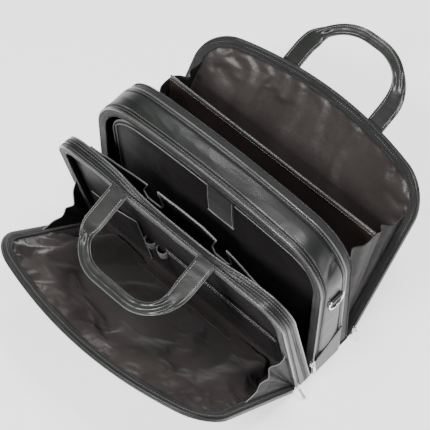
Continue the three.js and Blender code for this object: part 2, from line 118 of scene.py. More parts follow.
# ---------------------------------------------------------------- noise and outlines
def value_noise(u, v, seed):
    """Smooth noise from 0 to 1 over two arrays, with one bump per unit."""
    lattice = np.random.default_rng(seed).random((97, 97))
    u, v = np.broadcast_arrays(np.asarray(u, float), np.asarray(v, float))
    iu, iv = np.floor(u).astype(int), np.floor(v).astype(int)
    fu, fv = u - iu, v - iv
    fu, fv = fu * fu * (3 - 2 * fu), fv * fv * (3 - 2 * fv)
    a = lattice[iu % 97, iv % 97]
    b = lattice[(iu + 1) % 97, iv % 97]
    c = lattice[iu % 97, (iv + 1) % 97]
    d = lattice[(iu + 1) % 97, (iv + 1) % 97]
    return (a * (1 - fu) + b * fu) * (1 - fv) + (c * (1 - fu) + d * fu) * fv


def creases(u, v, seed):
    """Sharp-crested folds, from 0 in the hollows to 1 on the crests."""
    warp = value_noise(u * 0.6, v * 0.6, seed + 7) * 1.6
    ridge = 1 - np.abs(2 * value_noise(u + warp, v + warp, seed) - 1)
    fine = 1 - np.abs(2 * value_noise(u * 2.1 + warp, v * 2.1, seed + 3) - 1)
    return 0.72 * ridge**2.2 + 0.28 * fine**2


def step(x, low, high):
    t = np.clip((x - low) / (high - low), 0, 1)
    return t * t * (3 - 2 * t)


def bump(x, centre, width):
    return np.exp(-(((x - centre) / width) ** 2))


def unit(vectors):
    return vectors / np.maximum(np.linalg.norm(vectors, axis=-1, keepdims=True), 1e-9)


def run_along(path):
    """How far along a path each of its points lies."""
    return np.concatenate([[0], np.cumsum(np.linalg.norm(np.diff(path, axis=0), axis=1))])


def along_path(path, values, s):
    """Values given at a path's points, read at the distances s along it."""
    return np.stack([np.interp(s, run_along(path), column) for column in np.asarray(values, float).T], 1)


def evenly(path, count):
    """Evenly spaced points on a path, from its first point to its last."""
    path = np.asarray(path, float)
    return along_path(path, path, np.linspace(0, run_along(path)[-1], count))


def stacked(*columns):
    """One array of points from coordinates that broadcast together."""
    return np.stack(np.broadcast_arrays(*columns), -1)


def arch_centres(arch):
    radius = (HALF_WIDTH**2 / arch["crown"] + arch["crown"]) / 2
    centre = arch["height"] - radius
    corner_x = HALF_WIDTH - arch["corner"]
    corner_z = centre + math.sqrt((radius - arch["corner"]) ** 2 - corner_x**2)
    return radius, centre, corner_x, corner_z


def arch_line(arch, inset=0.0, foot=FOOT, count=200):
    """Evenly spaced points (x, z) from the left foot over the top to the right foot, and outward normals."""
    radius, centre, corner_x, corner_z = arch_centres(arch)
    turn = math.atan2(corner_z - centre, -corner_x)
    reach, r = HALF_WIDTH - inset, arch["corner"] - inset

    def arc(x, z, rad, a, b):
        t = np.linspace(a, b, 60)
        return np.stack([x + rad * np.cos(t), z + rad * np.sin(t)], 1)

    line = np.concatenate([
        [[-reach, foot]],
        arc(-corner_x, corner_z, r, math.pi, turn),
        arc(0, centre, radius - inset, turn, math.pi - turn)[1:],
        arc(corner_x, corner_z, r, math.pi - turn, 0)[1:],
        [[reach, foot]],
    ])
    points = evenly(line, count)
    tangent = unit(np.gradient(points, axis=0))
    return points, np.stack([-tangent[:, 1], tangent[:, 0]], 1)


def arch_top(arch, inset, x):
    """The arch's height over places across the bag."""
    radius, centre, corner_x, corner_z = arch_centres(arch)
    r = arch["corner"] - inset
    turn_x = corner_x + arch["corner"] * corner_x / (radius - arch["corner"])
    out = np.abs(x) - corner_x
    crown = centre + np.sqrt(np.maximum((radius - inset) ** 2 - x * x, 0))
    corner = corner_z + np.sqrt(np.maximum(r * r - out * out, 0))
    return np.where(np.abs(x) < turn_x, crown, corner)


def bowed(panel, x, z):
    return panel["bow"] * (1 - (x / HALF_WIDTH) ** 2) * z / 300


def lean(panel, points):
    """From a leaning part's own upright frame to the row frame."""
    a = math.radians(panel["lean"])
    x, y, z = points[..., 0], points[..., 1], points[..., 2]
    return np.stack([
        x,
        panel["y"] + y * math.cos(a) + z * math.sin(a),
        panel["z"] - y * math.sin(a) + z * math.cos(a),
    ], -1)


# ---------------------------------------------------------------- mesh tools
def make(name, points, faces, material, uv=None):
    """A smooth-shaded mesh object from points in millimetres, with a UV for each point if given."""
    mesh = bpy.data.meshes.new(name)
    mesh.from_pydata((np.asarray(points, float).reshape(-1, 3) * MM).tolist(), [], faces)
    mesh.validate()
    mesh.polygons.foreach_set("use_smooth", [True] * len(mesh.polygons))
    if uv is not None:
        layer = mesh.uv_layers.new(name="pattern")
        corner = np.zeros(len(mesh.loops), int)
        mesh.loops.foreach_get("vertex_index", corner)
        flat = (np.asarray(uv, float).reshape(-1, 2) * MM)[corner]
        layer.data.foreach_set("uv", flat.ravel())
    mesh.materials.append(material)
    piece = bpy.data.objects.new(name, mesh)
    bpy.context.scene.collection.objects.link(piece)
    return piece


def grid_normals(grid):
    du, dv = np.gradient(grid, axis=0), np.gradient(grid, axis=1)
    return unit(np.cross(du, dv))


def sheet_between(name, near, far, material):
    """A closed solid between two grids of points, with UVs in millimetres along each of them."""
    nu, nv = near.shape[:2]
    points = np.concatenate([near.reshape(-1, 3), far.reshape(-1, 3)])
    index = np.arange(nu * nv).reshape(nu, nv)
    a, b, c, d = index[:-1, :-1], index[1:, :-1], index[1:, 1:], index[:-1, 1:]
    top = np.stack([a, b, c, d], -1).reshape(-1, 4)
    faces = [top, top[:, ::-1] + nu * nv]
    for edge in (index[:, 0][::-1], index[:, -1], index[0, :], index[-1, :][::-1]):
        faces.append(np.stack([edge[:-1], edge[1:], edge[1:] + nu * nv, edge[:-1] + nu * nv], -1))
    faces = np.concatenate(faces)
    p = points[faces[:, 0]]
    volume = np.einsum("ij,ij->", p, np.cross(points[faces[:, 1]], points[faces[:, 2]]))
    volume += np.einsum("ij,ij->", p, np.cross(points[faces[:, 2]], points[faces[:, 3]]))
    if volume < 0:
        faces = faces[:, ::-1]
    along = np.cumsum(np.linalg.norm(np.diff(near, axis=0, prepend=near[:1]), axis=2).mean(1))
    across = np.cumsum(np.linalg.norm(np.diff(near, axis=1, prepend=near[:, :1]), axis=2).mean(0))
    uv = stacked(along[:, None], across[None, :]).reshape(-1, 2)
    return make(name, points, faces.tolist(), material, np.concatenate([uv, uv]))


def sheet_mesh(name, grid, thickness, material):
    """A sheet of even thickness behind a grid of points; a negative thickness goes the other way."""
    return sheet_between(name, grid, grid - grid_normals(grid) * thickness, material)


def outlined_sheet(name, outline, spacing, surface, depth, thickness, material):
    """A sheet inside an outline of (x, z) points, filled with small triangles."""
    edge = resample(np.concatenate([outline, outline[:1]]), spacing / 2)[:-1]
    low, high = edge.min(0) + spacing, edge.max(0) - spacing
    fill = np.stack(np.meshgrid(np.arange(low[0], high[0], spacing), np.arange(low[1], high[1], spacing)), -1)
    fill = fill.reshape(-1, 2)
    gap = np.min([np.hypot(*(fill - point).T) for point in edge], axis=0)
    flat = np.concatenate([edge, fill[gap > spacing * 0.6]])
    ring = [(k, (k + 1) % len(edge)) for k in range(len(edge))]
    found, _, faces, *_ = delaunay_2d_cdt([Vector(p) for p in flat], ring, [], 1, 1e-5)
    used, faces = np.unique(np.array(faces), return_inverse=True)
    faces = faces.reshape(-1, 3)
    x, z = np.array(found)[used].T
    near = surface(x, z, depth(x, z))
    count = len(near)
    sides = {(a, b) for face in faces.tolist() for a, b in zip(face, face[1:] + face[:1])}
    walls = [(b, a, a + count, b + count) for a, b in sides if (b, a) not in sides]
    points = np.concatenate([near, near + [0, thickness, 0]])
    solid = faces.tolist() + (faces[:, ::-1] + count).tolist() + walls
    uv = np.stack([x, z], -1)
    return make(name, points, solid, material, np.concatenate([uv, uv]))


def path_frames(path, closed=False):
    """Directions along a path, and two more across it that turn as little as they can."""
    tangent = np.roll(path, -1, 0) - np.roll(path, 1, 0) if closed else np.gradient(path, axis=0)
    tangent = unit(tangent)
    side = np.cross(tangent[0], [0.31, 0.83, 0.47])
    sides = []
    for t in tangent:
        side = side - t * (side @ t)
        side = side / np.linalg.norm(side)
        sides.append(side)
    sides = np.array(sides)
    return tangent, sides, np.cross(tangent, sides)


def swept(name, path, sides, ups, section, material, closed=False):
    """A solid whose section, an array of (side, up) points for each step, is carried along a path."""
    path = np.asarray(path, float)
    count, around = len(path), section.shape[-2]
    section = np.broadcast_to(section, (count, around, 2))
    points = path[:, None] + sides[:, None] * section[..., :1] + ups[:, None] * section[..., 1:]
    steps = count if closed else count - 1
    i, j = np.meshgrid(np.arange(steps), np.arange(around), indexing="ij")
    ahead, k = (i + 1) % count, (j + 1) % around
    faces = np.stack([i * around + j, i * around + k, ahead * around + k, ahead * around + j], -1)
    faces = faces.reshape(-1, 4).tolist()
    if not closed:
        faces.append(list(range(around))[::-1])
        faces.append(list(range((count - 1) * around, count * around)))
    girth = np.linalg.norm(np.diff(section[0], axis=0, prepend=section[0, -1:]), axis=1).cumsum()
    uv = stacked(run_along(path)[:, None], girth[None, :])
    return make(name, points, faces, material, uv)


def tube(name, path, radius, material, around=10, closed=False, flat=1.0, up=None):
    """A round tube along a path. radius is one number or one for each point; flat squashes it along up."""
    path = np.asarray(path, float)
    tangent, sides, ups = path_frames(path, closed)
    if up is not None:
        sides = unit(np.cross(np.broadcast_to(np.asarray(up, float), path.shape), tangent))
        ups = np.cross(tangent, sides)
    angle = np.linspace(0, 2 * math.pi, around, endpoint=False)
    radii = np.broadcast_to(radius, (len(path),))[:, None]
    section = np.stack([np.cos(angle)[None] * radii, np.sin(angle)[None] * radii * flat], -1)
    return swept(name, path, sides, ups, section, material, closed)


def resample(path, pitch):
    """Points about one pitch apart on a path, which start and end half a step inside it."""
    path = np.asarray(path, float)
    length = run_along(path)[-1]
    count = max(2, int(length / pitch))
    return along_path(path, path, (np.arange(count) + 0.5) * length / count)


BEAD = np.array([(-1, 0, 0), (-0.7, 1, 0), (-0.7, 0, 1), (-0.7, -1, 0), (-0.7, 0, -1),
                 (0.7, 1, 0), (0.7, 0, 1), (0.7, -1, 0), (0.7, 0, -1), (1, 0, 0)], float)
BEAD_FACES = [(0, 2, 1), (0, 3, 2), (0, 4, 3), (0, 1, 4), (1, 2, 6, 5), (2, 3, 7, 6), (3, 4, 8, 7),
              (4, 1, 5, 8), (9, 5, 6), (9, 6, 7), (9, 7, 8), (9, 8, 5)]


def beads(name, path, outward, pitch, size, material, across=False):
    """A row of small rounded pieces on a path: stitches lie along it, and zip teeth lie across it."""
    centres = resample(path, pitch)
    ahead = unit(np.gradient(centres, axis=0))
    up = np.asarray(outward, float)
    if up.ndim == 2:
        up = along_path(path, up, np.linspace(0, run_along(path)[-1], len(centres)))
    up = unit(up - ahead * np.sum(up * ahead, axis=1, keepdims=True))
    side = np.cross(up, ahead)
    long_axis, wide_axis = (side, ahead) if across else (ahead, side)
    length, width, height = size
    points = (centres[:, None]
              + long_axis[:, None] * BEAD[None, :, :1] * length / 2
              + wide_axis[:, None] * BEAD[None, :, 1:2] * width / 2
              + up[:, None] * BEAD[None, :, 2:3] * height / 2)
    faces = [[i * len(BEAD) + k for k in face] for i in range(len(centres)) for face in BEAD_FACES]
    return make(name, points, faces, material)


# ---------------------------------------------------------------- materials
class Nodes:
    """A short way to write a material's nodes."""

    def __init__(self, name):
        self.material = bpy.data.materials.new(name)
        self.material.use_nodes = True
        self.tree = self.material.node_tree
        self.shader = self.tree.nodes["Principled BSDF"]

    def add(self, kind, inputs=None, **settings):
        node = self.tree.nodes.new("ShaderNode" + kind)
        for key, value in settings.items():
            setattr(node, key, value)
        for key, value in (inputs or {}).items():
            if isinstance(value, bpy.types.NodeSocket):
                self.tree.links.new(value, node.inputs[key])
            else:
                node.inputs[key].default_value = value
        return node

    def link(self, source, key):
        self.tree.links.new(source, self.shader.inputs[key])

    def set(self, **values):
        for key, value in values.items():
            self.shader.inputs[key.replace("_", " ")].default_value = value

    def math(self, operation, a, b):
        return self.add("Math", {0: a, 1: b}, operation=operation).outputs[0]

    def noise(self, vector, scale, detail, distortion=0.0):
        inputs = {"Vector": vector, "Scale": scale, "Detail": detail, "Distortion": distortion}
        return self.add("TexNoise", inputs).outputs["Fac"]

    def wave(self, vector, scale, axis, distortion=0.0):
        inputs = {"Vector": vector, "Scale": scale, "Distortion": distortion}
        return self.add("TexWave", inputs, bands_direction=axis).outputs["Fac"]

    def ramp(self, factor, low, high):
        node = self.add("ValToRGB", {"Fac": factor})
        for element, position, colour in zip(node.color_ramp.elements, (0.3, 0.7), (low, high)):
            element.position = position
            element.color = (*colour, 1)
        return node.outputs["Color"]

    def spread(self, factor, low, high):
        return self.add("MapRange", {"Value": factor, "To Min": low, "To Max": high}).outputs["Result"]

    def bump(self, height, strength, distance, normal=None):
        inputs = {"Height": height, "Strength": strength, "Distance": distance}
        if normal is not None:
            inputs["Normal"] = normal
        return self.add("Bump", inputs).outputs["Normal"]


def leather(name, low, high, roughness, grain=1.0, coat=0.0):
    """Smooth dyed leather: a pebbled grain, soft creases, and rubbed patches that are a little glossier."""
    n = Nodes(name)
    place = n.add("TexCoord").outputs["Object"]
    cells = n.add("TexVoronoi", {"Vector": place, "Scale": 620.0}, feature="SMOOTH_F1").outputs["Distance"]
    pores = n.noise(place, 1500.0, 2.0)
    wrinkle = n.noise(place, 42.0, 6.0, 1.1)
    patch = n.noise(place, 14.0, 3.0)
    n.link(n.ramp(patch, low, high), "Base Color")
    n.link(n.spread(n.math("ADD", n.math("MULTIPLY", patch, 0.7), n.math("MULTIPLY", cells, 0.5)),
                    roughness - 0.08, roughness + 0.12), "Roughness")
    relief = n.math("ADD", cells, n.math("MULTIPLY", pores, 0.35))
    coarse = n.bump(wrinkle, 0.16 * grain, 0.0016)
    n.link(n.bump(relief, 0.22 * grain, 0.00035, coarse), "Normal")
    n.set(Coat_Weight=coat, Coat_Roughness=0.28, Specular_IOR_Level=0.5)
    return n.material


def satin(name, low, high, roughness, sheen=0.25, gloss=0.5):
    """Satin nylon lining: a fine twill, with slow changes of tint where it has been handled."""
    n = Nodes(name)
    place = n.add("TexCoord").outputs["Object"]
    warp = n.wave(place, 640.0, "X", 0.6)
    weft = n.wave(place, 640.0, "Z", 0.6)
    slow = n.noise(place, 11.0, 4.0)
    crumple = n.noise(place, 70.0, 5.0, 1.6)
    n.link(n.ramp(slow, low, high), "Base Color")
    n.link(n.spread(crumple, roughness - 0.06, roughness + 0.1), "Roughness")
    soft = n.bump(crumple, 0.2, 0.0016)
    n.link(n.bump(n.math("MULTIPLY", warp, weft), 0.18, 0.0002, soft), "Normal")
    n.set(Sheen_Weight=sheen, Sheen_Roughness=0.4, Specular_IOR_Level=gloss)
    n.shader.inputs["Sheen Tint"].default_value = (0.86, 0.82, 0.84, 1)
    return n.material


def ribbed(name, colour, pitch=1.1):
    """Woven tape: ribs across its length and a few long threads."""
    n = Nodes(name)
    place = n.add("UVMap", uv_map="pattern").outputs["UV"]
    ribs = n.wave(place, 0.32 / pitch / MM, "X")
    threads = n.wave(place, 0.12 / pitch / MM, "Y")
    fuzz = n.noise(place, 900.0, 3.0)
    n.link(n.ramp(fuzz, [c * 0.7 for c in colour], [c * 1.5 for c in colour]), "Base Color")
    n.link(n.spread(fuzz, 0.6, 0.8), "Roughness")
    n.link(n.bump(n.math("ADD", ribs, n.math("MULTIPLY", threads, 0.5)), 0.5, 0.0003), "Normal")
    n.set(Sheen_Weight=0.2)
    return n.material


def metal(name, colour, roughness):
    """Plated metal with fine handling scratches and a slow change of polish."""
    n = Nodes(name)
    place = n.add("TexCoord").outputs["Object"]
    stretched = n.add("Mapping", {"Vector": place, "Scale": (900.0, 90.0, 260.0)}).outputs["Vector"]
    scratches = n.noise(stretched, 1.0, 4.0)
    polish = n.noise(place, 160.0, 2.0)
    n.link(n.ramp(polish, [c * 0.9 for c in colour], colour), "Base Color")
    n.link(n.spread(n.math("MULTIPLY", scratches, polish), roughness, roughness + 0.3), "Roughness")
    n.link(n.bump(scratches, 0.05, 0.0001), "Normal")
    n.set(Metallic=1.0)
    return n.material


def plain_fibre(name, colour, scale, roughness=0.85):
    """Board, foam or thread: a fine fibrous mottle."""
    n = Nodes(name)
    place = n.add("TexCoord").outputs["Object"]
    fibre = n.noise(place, scale, 5.0)
    n.link(n.ramp(fibre, [c * 0.7 for c in colour], [min(1, c * 1.25) for c in colour]), "Base Color")
    n.link(n.spread(fibre, roughness - 0.1, min(1, roughness + 0.1)), "Roughness")
    n.link(n.bump(fibre, 0.3, 0.0003), "Normal")
    return n.material


HIDE = leather("black_leather", (0.010, 0.0112, 0.0100), (0.019, 0.0213, 0.0193), 0.40, coat=0.25)
# Piping and edge leather: its light grey base colour, several times lighter than the black hide, paints the
# bright highlight line along piping and edges, besides its real gloss.
EDGE_HIDE_PAINTED_HIGHLIGHT = leather("piping_leather_painted_highlight", (0.07, 0.073, 0.07), (0.15, 0.155, 0.15), 0.24, 0.6, coat=0.6)
STRAP_HIDE = leather("strap_leather", (0.013, 0.0143, 0.013), (0.030, 0.0327, 0.030), 0.31, 1.5, coat=0.4)
# Seam cord leather: near black, far darker than the hide, painting the shade in the grooves beside the
# piping.
SEAM_SHADE_HIDE = leather("seam_leather_painted_shade", (0.002, 0.002, 0.002), (0.005, 0.005, 0.005), 0.55)
BOARD_HIDE = leather("divider_leather", (0.048, 0.034, 0.031), (0.075, 0.055, 0.050), 0.42, 0.8)
CLOTH = satin("lining_satin", (0.036, 0.0300, 0.0285), (0.062, 0.0515, 0.0490), 0.34)
DARK_CLOTH = satin("black_lining", (0.014, 0.0122, 0.0130), (0.025, 0.0217, 0.0230), 0.54, 0.05, 0.28)
# Gusset cloth: matte and about three times darker than the lining; this is partly its own black cloth and
# partly painted shade of the recessed gussets.
GUSSET_CLOTH_AND_SHADE = satin("gusset_cloth_and_painted_shade", (0.010, 0.0083, 0.0080), (0.019, 0.0158, 0.0152), 0.62, 0.0)
TAPE = ribbed("zip_tape", (0.010, 0.010, 0.0105))
BINDING = ribbed("binding_tape", (0.26, 0.26, 0.255), 0.7)
TEETH = plain_fibre("zip_coil", (0.07, 0.07, 0.072), 900.0, 0.32)
THREAD = plain_fibre("thread", (0.48, 0.485, 0.47), 2200.0, 0.6)
SEAM_THREAD = plain_fibre("seam_thread", (0.22, 0.223, 0.216), 2200.0, 0.55)
NICKEL = metal("nickel", (0.86, 0.86, 0.85), 0.12)
BOARD = plain_fibre("board", (0.2, 0.19, 0.17), 300.0)

SLOTS = {
    "leather": (HIDE, EDGE_HIDE_PAINTED_HIGHLIGHT, STRAP_HIDE, SEAM_SHADE_HIDE, THREAD, SEAM_THREAD),
    "divider_hide": (BOARD_HIDE,),
    "lining": (CLOTH, DARK_CLOTH, GUSSET_CLOTH_AND_SHADE),
    "zip_tape": (TAPE, BINDING, TEETH),
    "nickel": (NICKEL,),
    "stiffener": (BOARD,),
}


def place(piece, body, *nodes, weights=None):
    """Rides a piece on its body; for a pair of bodies it only bakes the piece's transform. Hides the CAD
    nodes that it stands for.
    """
    if isinstance(body, tuple):
        first, second, start, end = body
        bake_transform(piece)
        if weights is not None:
            np.ravel(weights).astype(np.float32)
    else:
        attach(piece, body)
    if nodes:
        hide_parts(*nodes)
    return piece


def stitches(name, body, path, outward, pitch=4.0, material=THREAD):
    place(beads(name, path, outward, pitch, STITCH, material), body)


# ---------------------------------------------------------------- camera, floor and light
CAMERA = {"turn": (42.26, 58.68, 1.02), "place": (0.8244, -0.9340, 2.2035), "lens": 137.7, "sensor": 36.0}
WORLD_STRENGTH, FLOOR_GLOW = 0.07, 1.5
LIGHTS = {
    "overhead": {"place": (0.4, 0.2, 2.3), "aim": (0, 0, 0.2), "size": (0.6, 0.4), "power": 28},
    "top_left": {"place": (-0.9, 1.3, 2.1), "aim": (0, 0, 0.25), "size": (0.4, 0.4), "power": 12},
    "front_key": {"place": (-0.1, -1.6, 2.1), "aim": (0, 0, 0.2), "size": (0.6, 0.4), "power": 48},
    "left_rake": {"place": (-2.0, -0.5, 1.1), "aim": (0, 0, 0.15), "size": (0.5, 0.5), "power": 6},
    "right_fill": {"place": (2.2, -0.2, 1.1), "aim": (0, 0, 0.15), "size": (0.7, 0.7), "power": 8},
}


def add_camera():
    azimuth, elevation, roll = (math.radians(angle) for angle in CAMERA["turn"])
    back = Vector((math.sin(azimuth) * math.cos(elevation), -math.cos(azimuth) * math.cos(elevation),
                   math.sin(elevation)))
    right = Vector((math.cos(azimuth), math.sin(azimuth), 0))
    up = back.cross(right)
    right, up = right * math.cos(roll) + up * math.sin(roll), up * math.cos(roll) - right * math.sin(roll)
    camera = bpy.data.objects.new("camera", bpy.data.cameras.new("camera"))
    camera.data.lens = CAMERA["lens"]
    camera.data.sensor_width = CAMERA["sensor"]
    camera.data.clip_end = 50
    turned = Matrix((right, up, back)).transposed().to_4x4()
    camera.matrix_world = Matrix.Translation(CAMERA["place"]) @ turned
    bpy.context.scene.collection.objects.link(camera)
    bpy.context.scene.camera = camera


def add_floor():
    floor = Nodes("floor_paint")
    spots = floor.add("TexNoise", {"Scale": 3.0, "Detail": 2.0}).outputs["Fac"]
    floor.link(floor.ramp(spots, (0.90, 0.90, 0.895), (0.93, 0.93, 0.925)), "Base Color")
    floor.set(Roughness=0.9, Emission_Strength=FLOOR_GLOW)
    floor.shader.inputs["Emission Color"].default_value = (1, 1, 1, 1)
    size, below = 6000.0, -0.6
    corners = [(-size, -size, below), (size, -size, below), (size, size, below), (-size, size, below)]
    make("floor", corners, [(0, 1, 2, 3)], floor.material)


def add_world():
    world = bpy.data.worlds.new("studio")
    world.use_nodes = True
    world.node_tree.nodes["Background"].inputs["Color"].default_value = (1, 1, 1, 1)
    world.node_tree.nodes["Background"].inputs["Strength"].default_value = WORLD_STRENGTH
    bpy.context.scene.world = world


def add_light(name, place, aim, size, power):
    light = bpy.data.lights.new(name, "AREA")
    light.shape = "RECTANGLE"
    light.size, light.size_y = size
    light.energy = power
    lamp = bpy.data.objects.new(name, light)
    lamp.location = place
    lamp.rotation_mode = "QUATERNION"
    lamp.rotation_quaternion = (Vector(aim) - Vector(place)).to_track_quat("-Z", "Y")
    bpy.context.scene.collection.objects.link(lamp)


add_camera()
add_floor()
add_world()
for name, row in LIGHTS.items():
    add_light(name, **row)


# ---------------------------------------------------------------- places on the bag
def on_plane(plane):
    """Points on a plane across the bag; depth is measured along Y."""
    def surface(x, z, depth=0.0):
        x, z, depth = np.broadcast_arrays(np.asarray(x, float), z, depth)
        return np.stack([x, plane(z) + depth, z], -1)
    return surface


def soft_rim(plane, squeeze, dip, middle, spread):
    """Points on a plane whose top edge is soft: near one place across it is pressed in and sags."""
    def surface(x, z, depth=0.0):
        x, z, depth = np.broadcast_arrays(np.asarray(x, float), z, depth)
        slack = step(z, 150, 275) * np.exp(-((x - middle) / spread) ** 4)
        return np.stack([x, plane(z) + depth + squeeze * slack, z - dip * slack], -1)
    return surface


def on_panel(panel):
    """Points on a leaning panel; depth is measured outward from its inner surface."""
    def surface(x, z, depth=0.0):
        x, z, depth = np.broadcast_arrays(np.asarray(x, float), z, depth)
        return lean(panel, np.stack([x, bowed(panel, x, z) + panel["out"] * depth, z], -1))
    return surface


def rim_path(surface, arch, inset, depth=0.0, foot=FOOT, count=240):
    """A path along an arch's rim, with the directions out of the arch and deeper from it."""
    line, normal = arch_line(arch, inset, foot, count)
    x, z = line.T
    path = surface(x, z, depth)
    outward = unit(surface(x + normal[:, 0], z + normal[:, 1], depth) - path)
    deeper = unit(surface(x, z, depth + 1.0) - path)
    return path, outward, deeper


def rim_strip(name, surface, arch, outer, inner, depth, thickness, material, foot=FOOT, wave=0.0, seed=0):
    """A flat strip inside an arch, between two insets."""
    insets = np.linspace(outer, inner, 7)
    rows = []
    for k, inset in enumerate(insets):
        ripple = wave * (value_noise(np.arange(240) / 7.0, k * 0.5, seed) - 0.5) * k / 6
        rows.append(rim_path(surface, arch, inset, depth + ripple, foot)[0])
    return sheet_mesh(name, np.stack(rows, 1), thickness, material)


def arch_grid(arch, inset, across, up, foot=FOOT):
    """Places (x, z) that fill an arched outline, and how far each one is from its rim."""
    u = np.linspace(-1, 1, across)[:, None]
    v = np.linspace(0, 1, up)[None, :]
    x = (HALF_WIDTH - inset) * np.sin(u * math.pi / 2) + 0 * v
    top = arch_top(arch, inset, x)
    z = foot + (top - foot) * v
    rim = np.minimum(HALF_WIDTH - inset - np.abs(x), (top - z) * 0.9)
    return x, z, rim


TAPE_EDGE, TAPE_WIDTH = 2.2, 12.0
TOOTH = (2.9, 1.15, 1.3)
STITCH = (3.0, 0.85, 0.75)


def zip_half(name, body, surface, arch, depth, face, node=None, foot=FOOT, seed=0):
    """Half of an open zip round an opening: its tape, its teeth and the stitches that hold it down."""
    tape = rim_strip(f"{name}_tape", surface, arch, TAPE_EDGE, TAPE_EDGE + TAPE_WIDTH, depth, 0.9, TAPE,
                     foot, wave=2.2, seed=seed)
    place(tape, body, *([node] if node else []))
    rows = (("teeth", TAPE_EDGE + TAPE_WIDTH - 0.8, 2.0, TOOTH, TEETH, True),
            ("stitches", TAPE_EDGE + 3.4, 4.0, STITCH, SEAM_THREAD, False),
            ("fold_line", TAPE_EDGE + 6.2, 2.6, (2.5, 0.6, 0.5), TEETH, False))
    for kind, inset, pitch, size, material, across in rows:
        path, _, deeper = rim_path(surface, arch, inset, depth + face * 0.7, foot)
        place(beads(f"{name}_{kind}", path, deeper * face, pitch, size, material, across), body)


def piping(name, body, surface, arch, depth):
    """The leather cord that is sewn into the seam along an arch's rim; its light base colour paints a
    highlight line along it.
    """
    path, *_ = rim_path(surface, arch, inset=0.6, depth=depth, count=300)
    place(tube(f"{name}_cord", path, PIPING_RADIUS, EDGE_HIDE_PAINTED_HIGHLIGHT), body, name)


def band_surface(arch, front, rear, relief, inset=0.0, along=260, across=20, foot=FOOT):
    """A grid on an arched band between two surfaces, pushed out by relief(s, t, x, z)."""
    line, normal = arch_line(arch, inset, foot, along)
    s = np.linspace(0, 1, along)[:, None]
    t = np.linspace(0, 1, across)[None, :]
    x, z = line[:, :1] + 0 * t, line[:, 1:] + 0 * t
    grid = front(x, z) * (1 - t)[..., None] + rear(x, z) * t[..., None]
    out = relief(s, t, x, z)
    return grid + np.stack([normal[:, :1] * out, 0 * out, normal[:, 1:] * out], -1)


def band_rows(prefix, body, arch, surface, rows):
    """Rows on a band beside one of its edges: each is a cord or a line of stitches, so far from the edge. The
    cords are near black to paint the shade in the seam grooves.
    """
    for k, (kind, shift, out) in enumerate(rows):
        path, outward, _ = rim_path(surface, arch, -out, shift)
        if kind == "cord":
            place(tube(f"{prefix}_seam_{k}", path, 0.85, SEAM_SHADE_HIDE), body)
        else:
            stitches(f"{prefix}_stitches_{k}", body, path, outward, 3.8, SEAM_THREAD)


def patch_grid(surface, left, right, foot, top, depth, across=40, up=30):
    """A grid on a surface between two places across and from a foot to a top line, top(x)."""
    x = np.linspace(left, right, across)[:, None]
    v = np.linspace(0, 1, up)[None, :]
    z = foot + (top(x) - foot) * v
    u = (x - left) / (right - left)
    return surface(x + 0 * v, z, depth(u, v, x, z))


def strip_across(name, profile, half, thickness, material, wave=0.0, seed=0):
    """A sheet that runs across the bag with the same profile, a list of (y, z), from side to side."""
    profile, steps = np.asarray(profile, float), 18
    s = np.linspace(0, run_along(profile)[-1], steps)
    y, z = evenly(profile, steps).T
    x = np.linspace(-half, half, 90)[:, None]
    lift = wave * value_noise(x / 16, s[None] / 12, seed) * np.sin(np.linspace(0, math.pi, steps))[None]
    return sheet_mesh(name, stacked(x, y[None], z[None] + lift), thickness, material)


# ---------------------------------------------------------------- main body
def main_relief(s, t, x, z):
    seam = step(t, 0.13, 0.22) * step(1 - t, 0.1, 0.2)
    soft = 2.6 * np.sin(math.pi * t) ** 0.7 * seam
    waves = 1.2 * (value_noise(s * 22, t * 2.2, 5) - 0.5) * seam
    waves += 1.0 * (creases(s * 15, t * 1.6, 6) - 0.4) * seam
    shoulder = bump(s, 0.715, 0.022) * bump(t, 0.55, 0.33)
    crease = bump(s + 0.03 * t, 0.742, 0.006) * bump(t, 0.6, 0.4)
    left = bump(s, 0.262, 0.02) * bump(t, 0.5, 0.3)
    return soft + waves - 4.6 * shoulder - 1.6 * crease - 2.2 * left


def main_band():
    front, rear = on_plane(main_front), on_plane(main_rear)
    outer = band_surface(MAIN_ARCH, front, rear, main_relief, along=420, across=34)
    place(sheet_mesh("main_band_leather", outer, 1.6, HIDE), "main_body", "main_band")
    inner = band_surface(MAIN_ARCH, front, on_plane(lambda z: wall_front(z) - 1),
                         lambda s, t, x, z: 1.1 * value_noise(s * 40, t * 4, 9), inset=3.8)
    lining = sheet_mesh("main_band_lining", inner, -0.6, DARK_CLOTH)
    place(lining, "main_body", "main_lining")
    piping("main_front_piping", "main_body", front, MAIN_ARCH, -1.4)
    piping("main_rear_piping", "main_body", rear, MAIN_ARCH, 1.4)
    band_rows("main_band_front", "main_body", MAIN_ARCH, front,
              [("stitch", 3.6, 0.9), ("cord", 6.0, 0.5), ("stitch", 8.2, 1.3)])
    band_rows("main_band_rear", "main_body", MAIN_ARCH, rear, [("stitch", -3.6, 0.9), ("cord", -6.0, 0.6)])
    zip_half("laptop_zip_rear", "main_body", front, MAIN_ARCH, -1.4, -1, "laptop_zip_tape_rear", seed=3)

    def ripple(s, t, x, z):
        return 1.0 * (value_noise(s * 40, t * 3, 15) - 0.5) * t

    tape = band_surface(MAIN_ARCH, on_plane(lambda z: main_rear(z) + 0.3), on_plane(main_rear_tape), ripple,
                        inset=TAPE_EDGE, across=12)
    place(sheet_mesh("rear_zip_main_tape", tape, 0.9, TAPE), "main_body", "rear_zip_tape_main")
    for name, shift, pitch, size, material, across in (
            ("teeth", -0.6, 2.0, TOOTH, TEETH, True), ("stitches", -15.5, 4.0, STITCH, SEAM_THREAD, False)):
        path, outward, _ = rim_path(on_plane(main_rear_tape), MAIN_ARCH, TAPE_EDGE - 0.8, shift)
        place(beads(f"rear_zip_main_{name}", path, outward, pitch, size, material, across), "main_body")


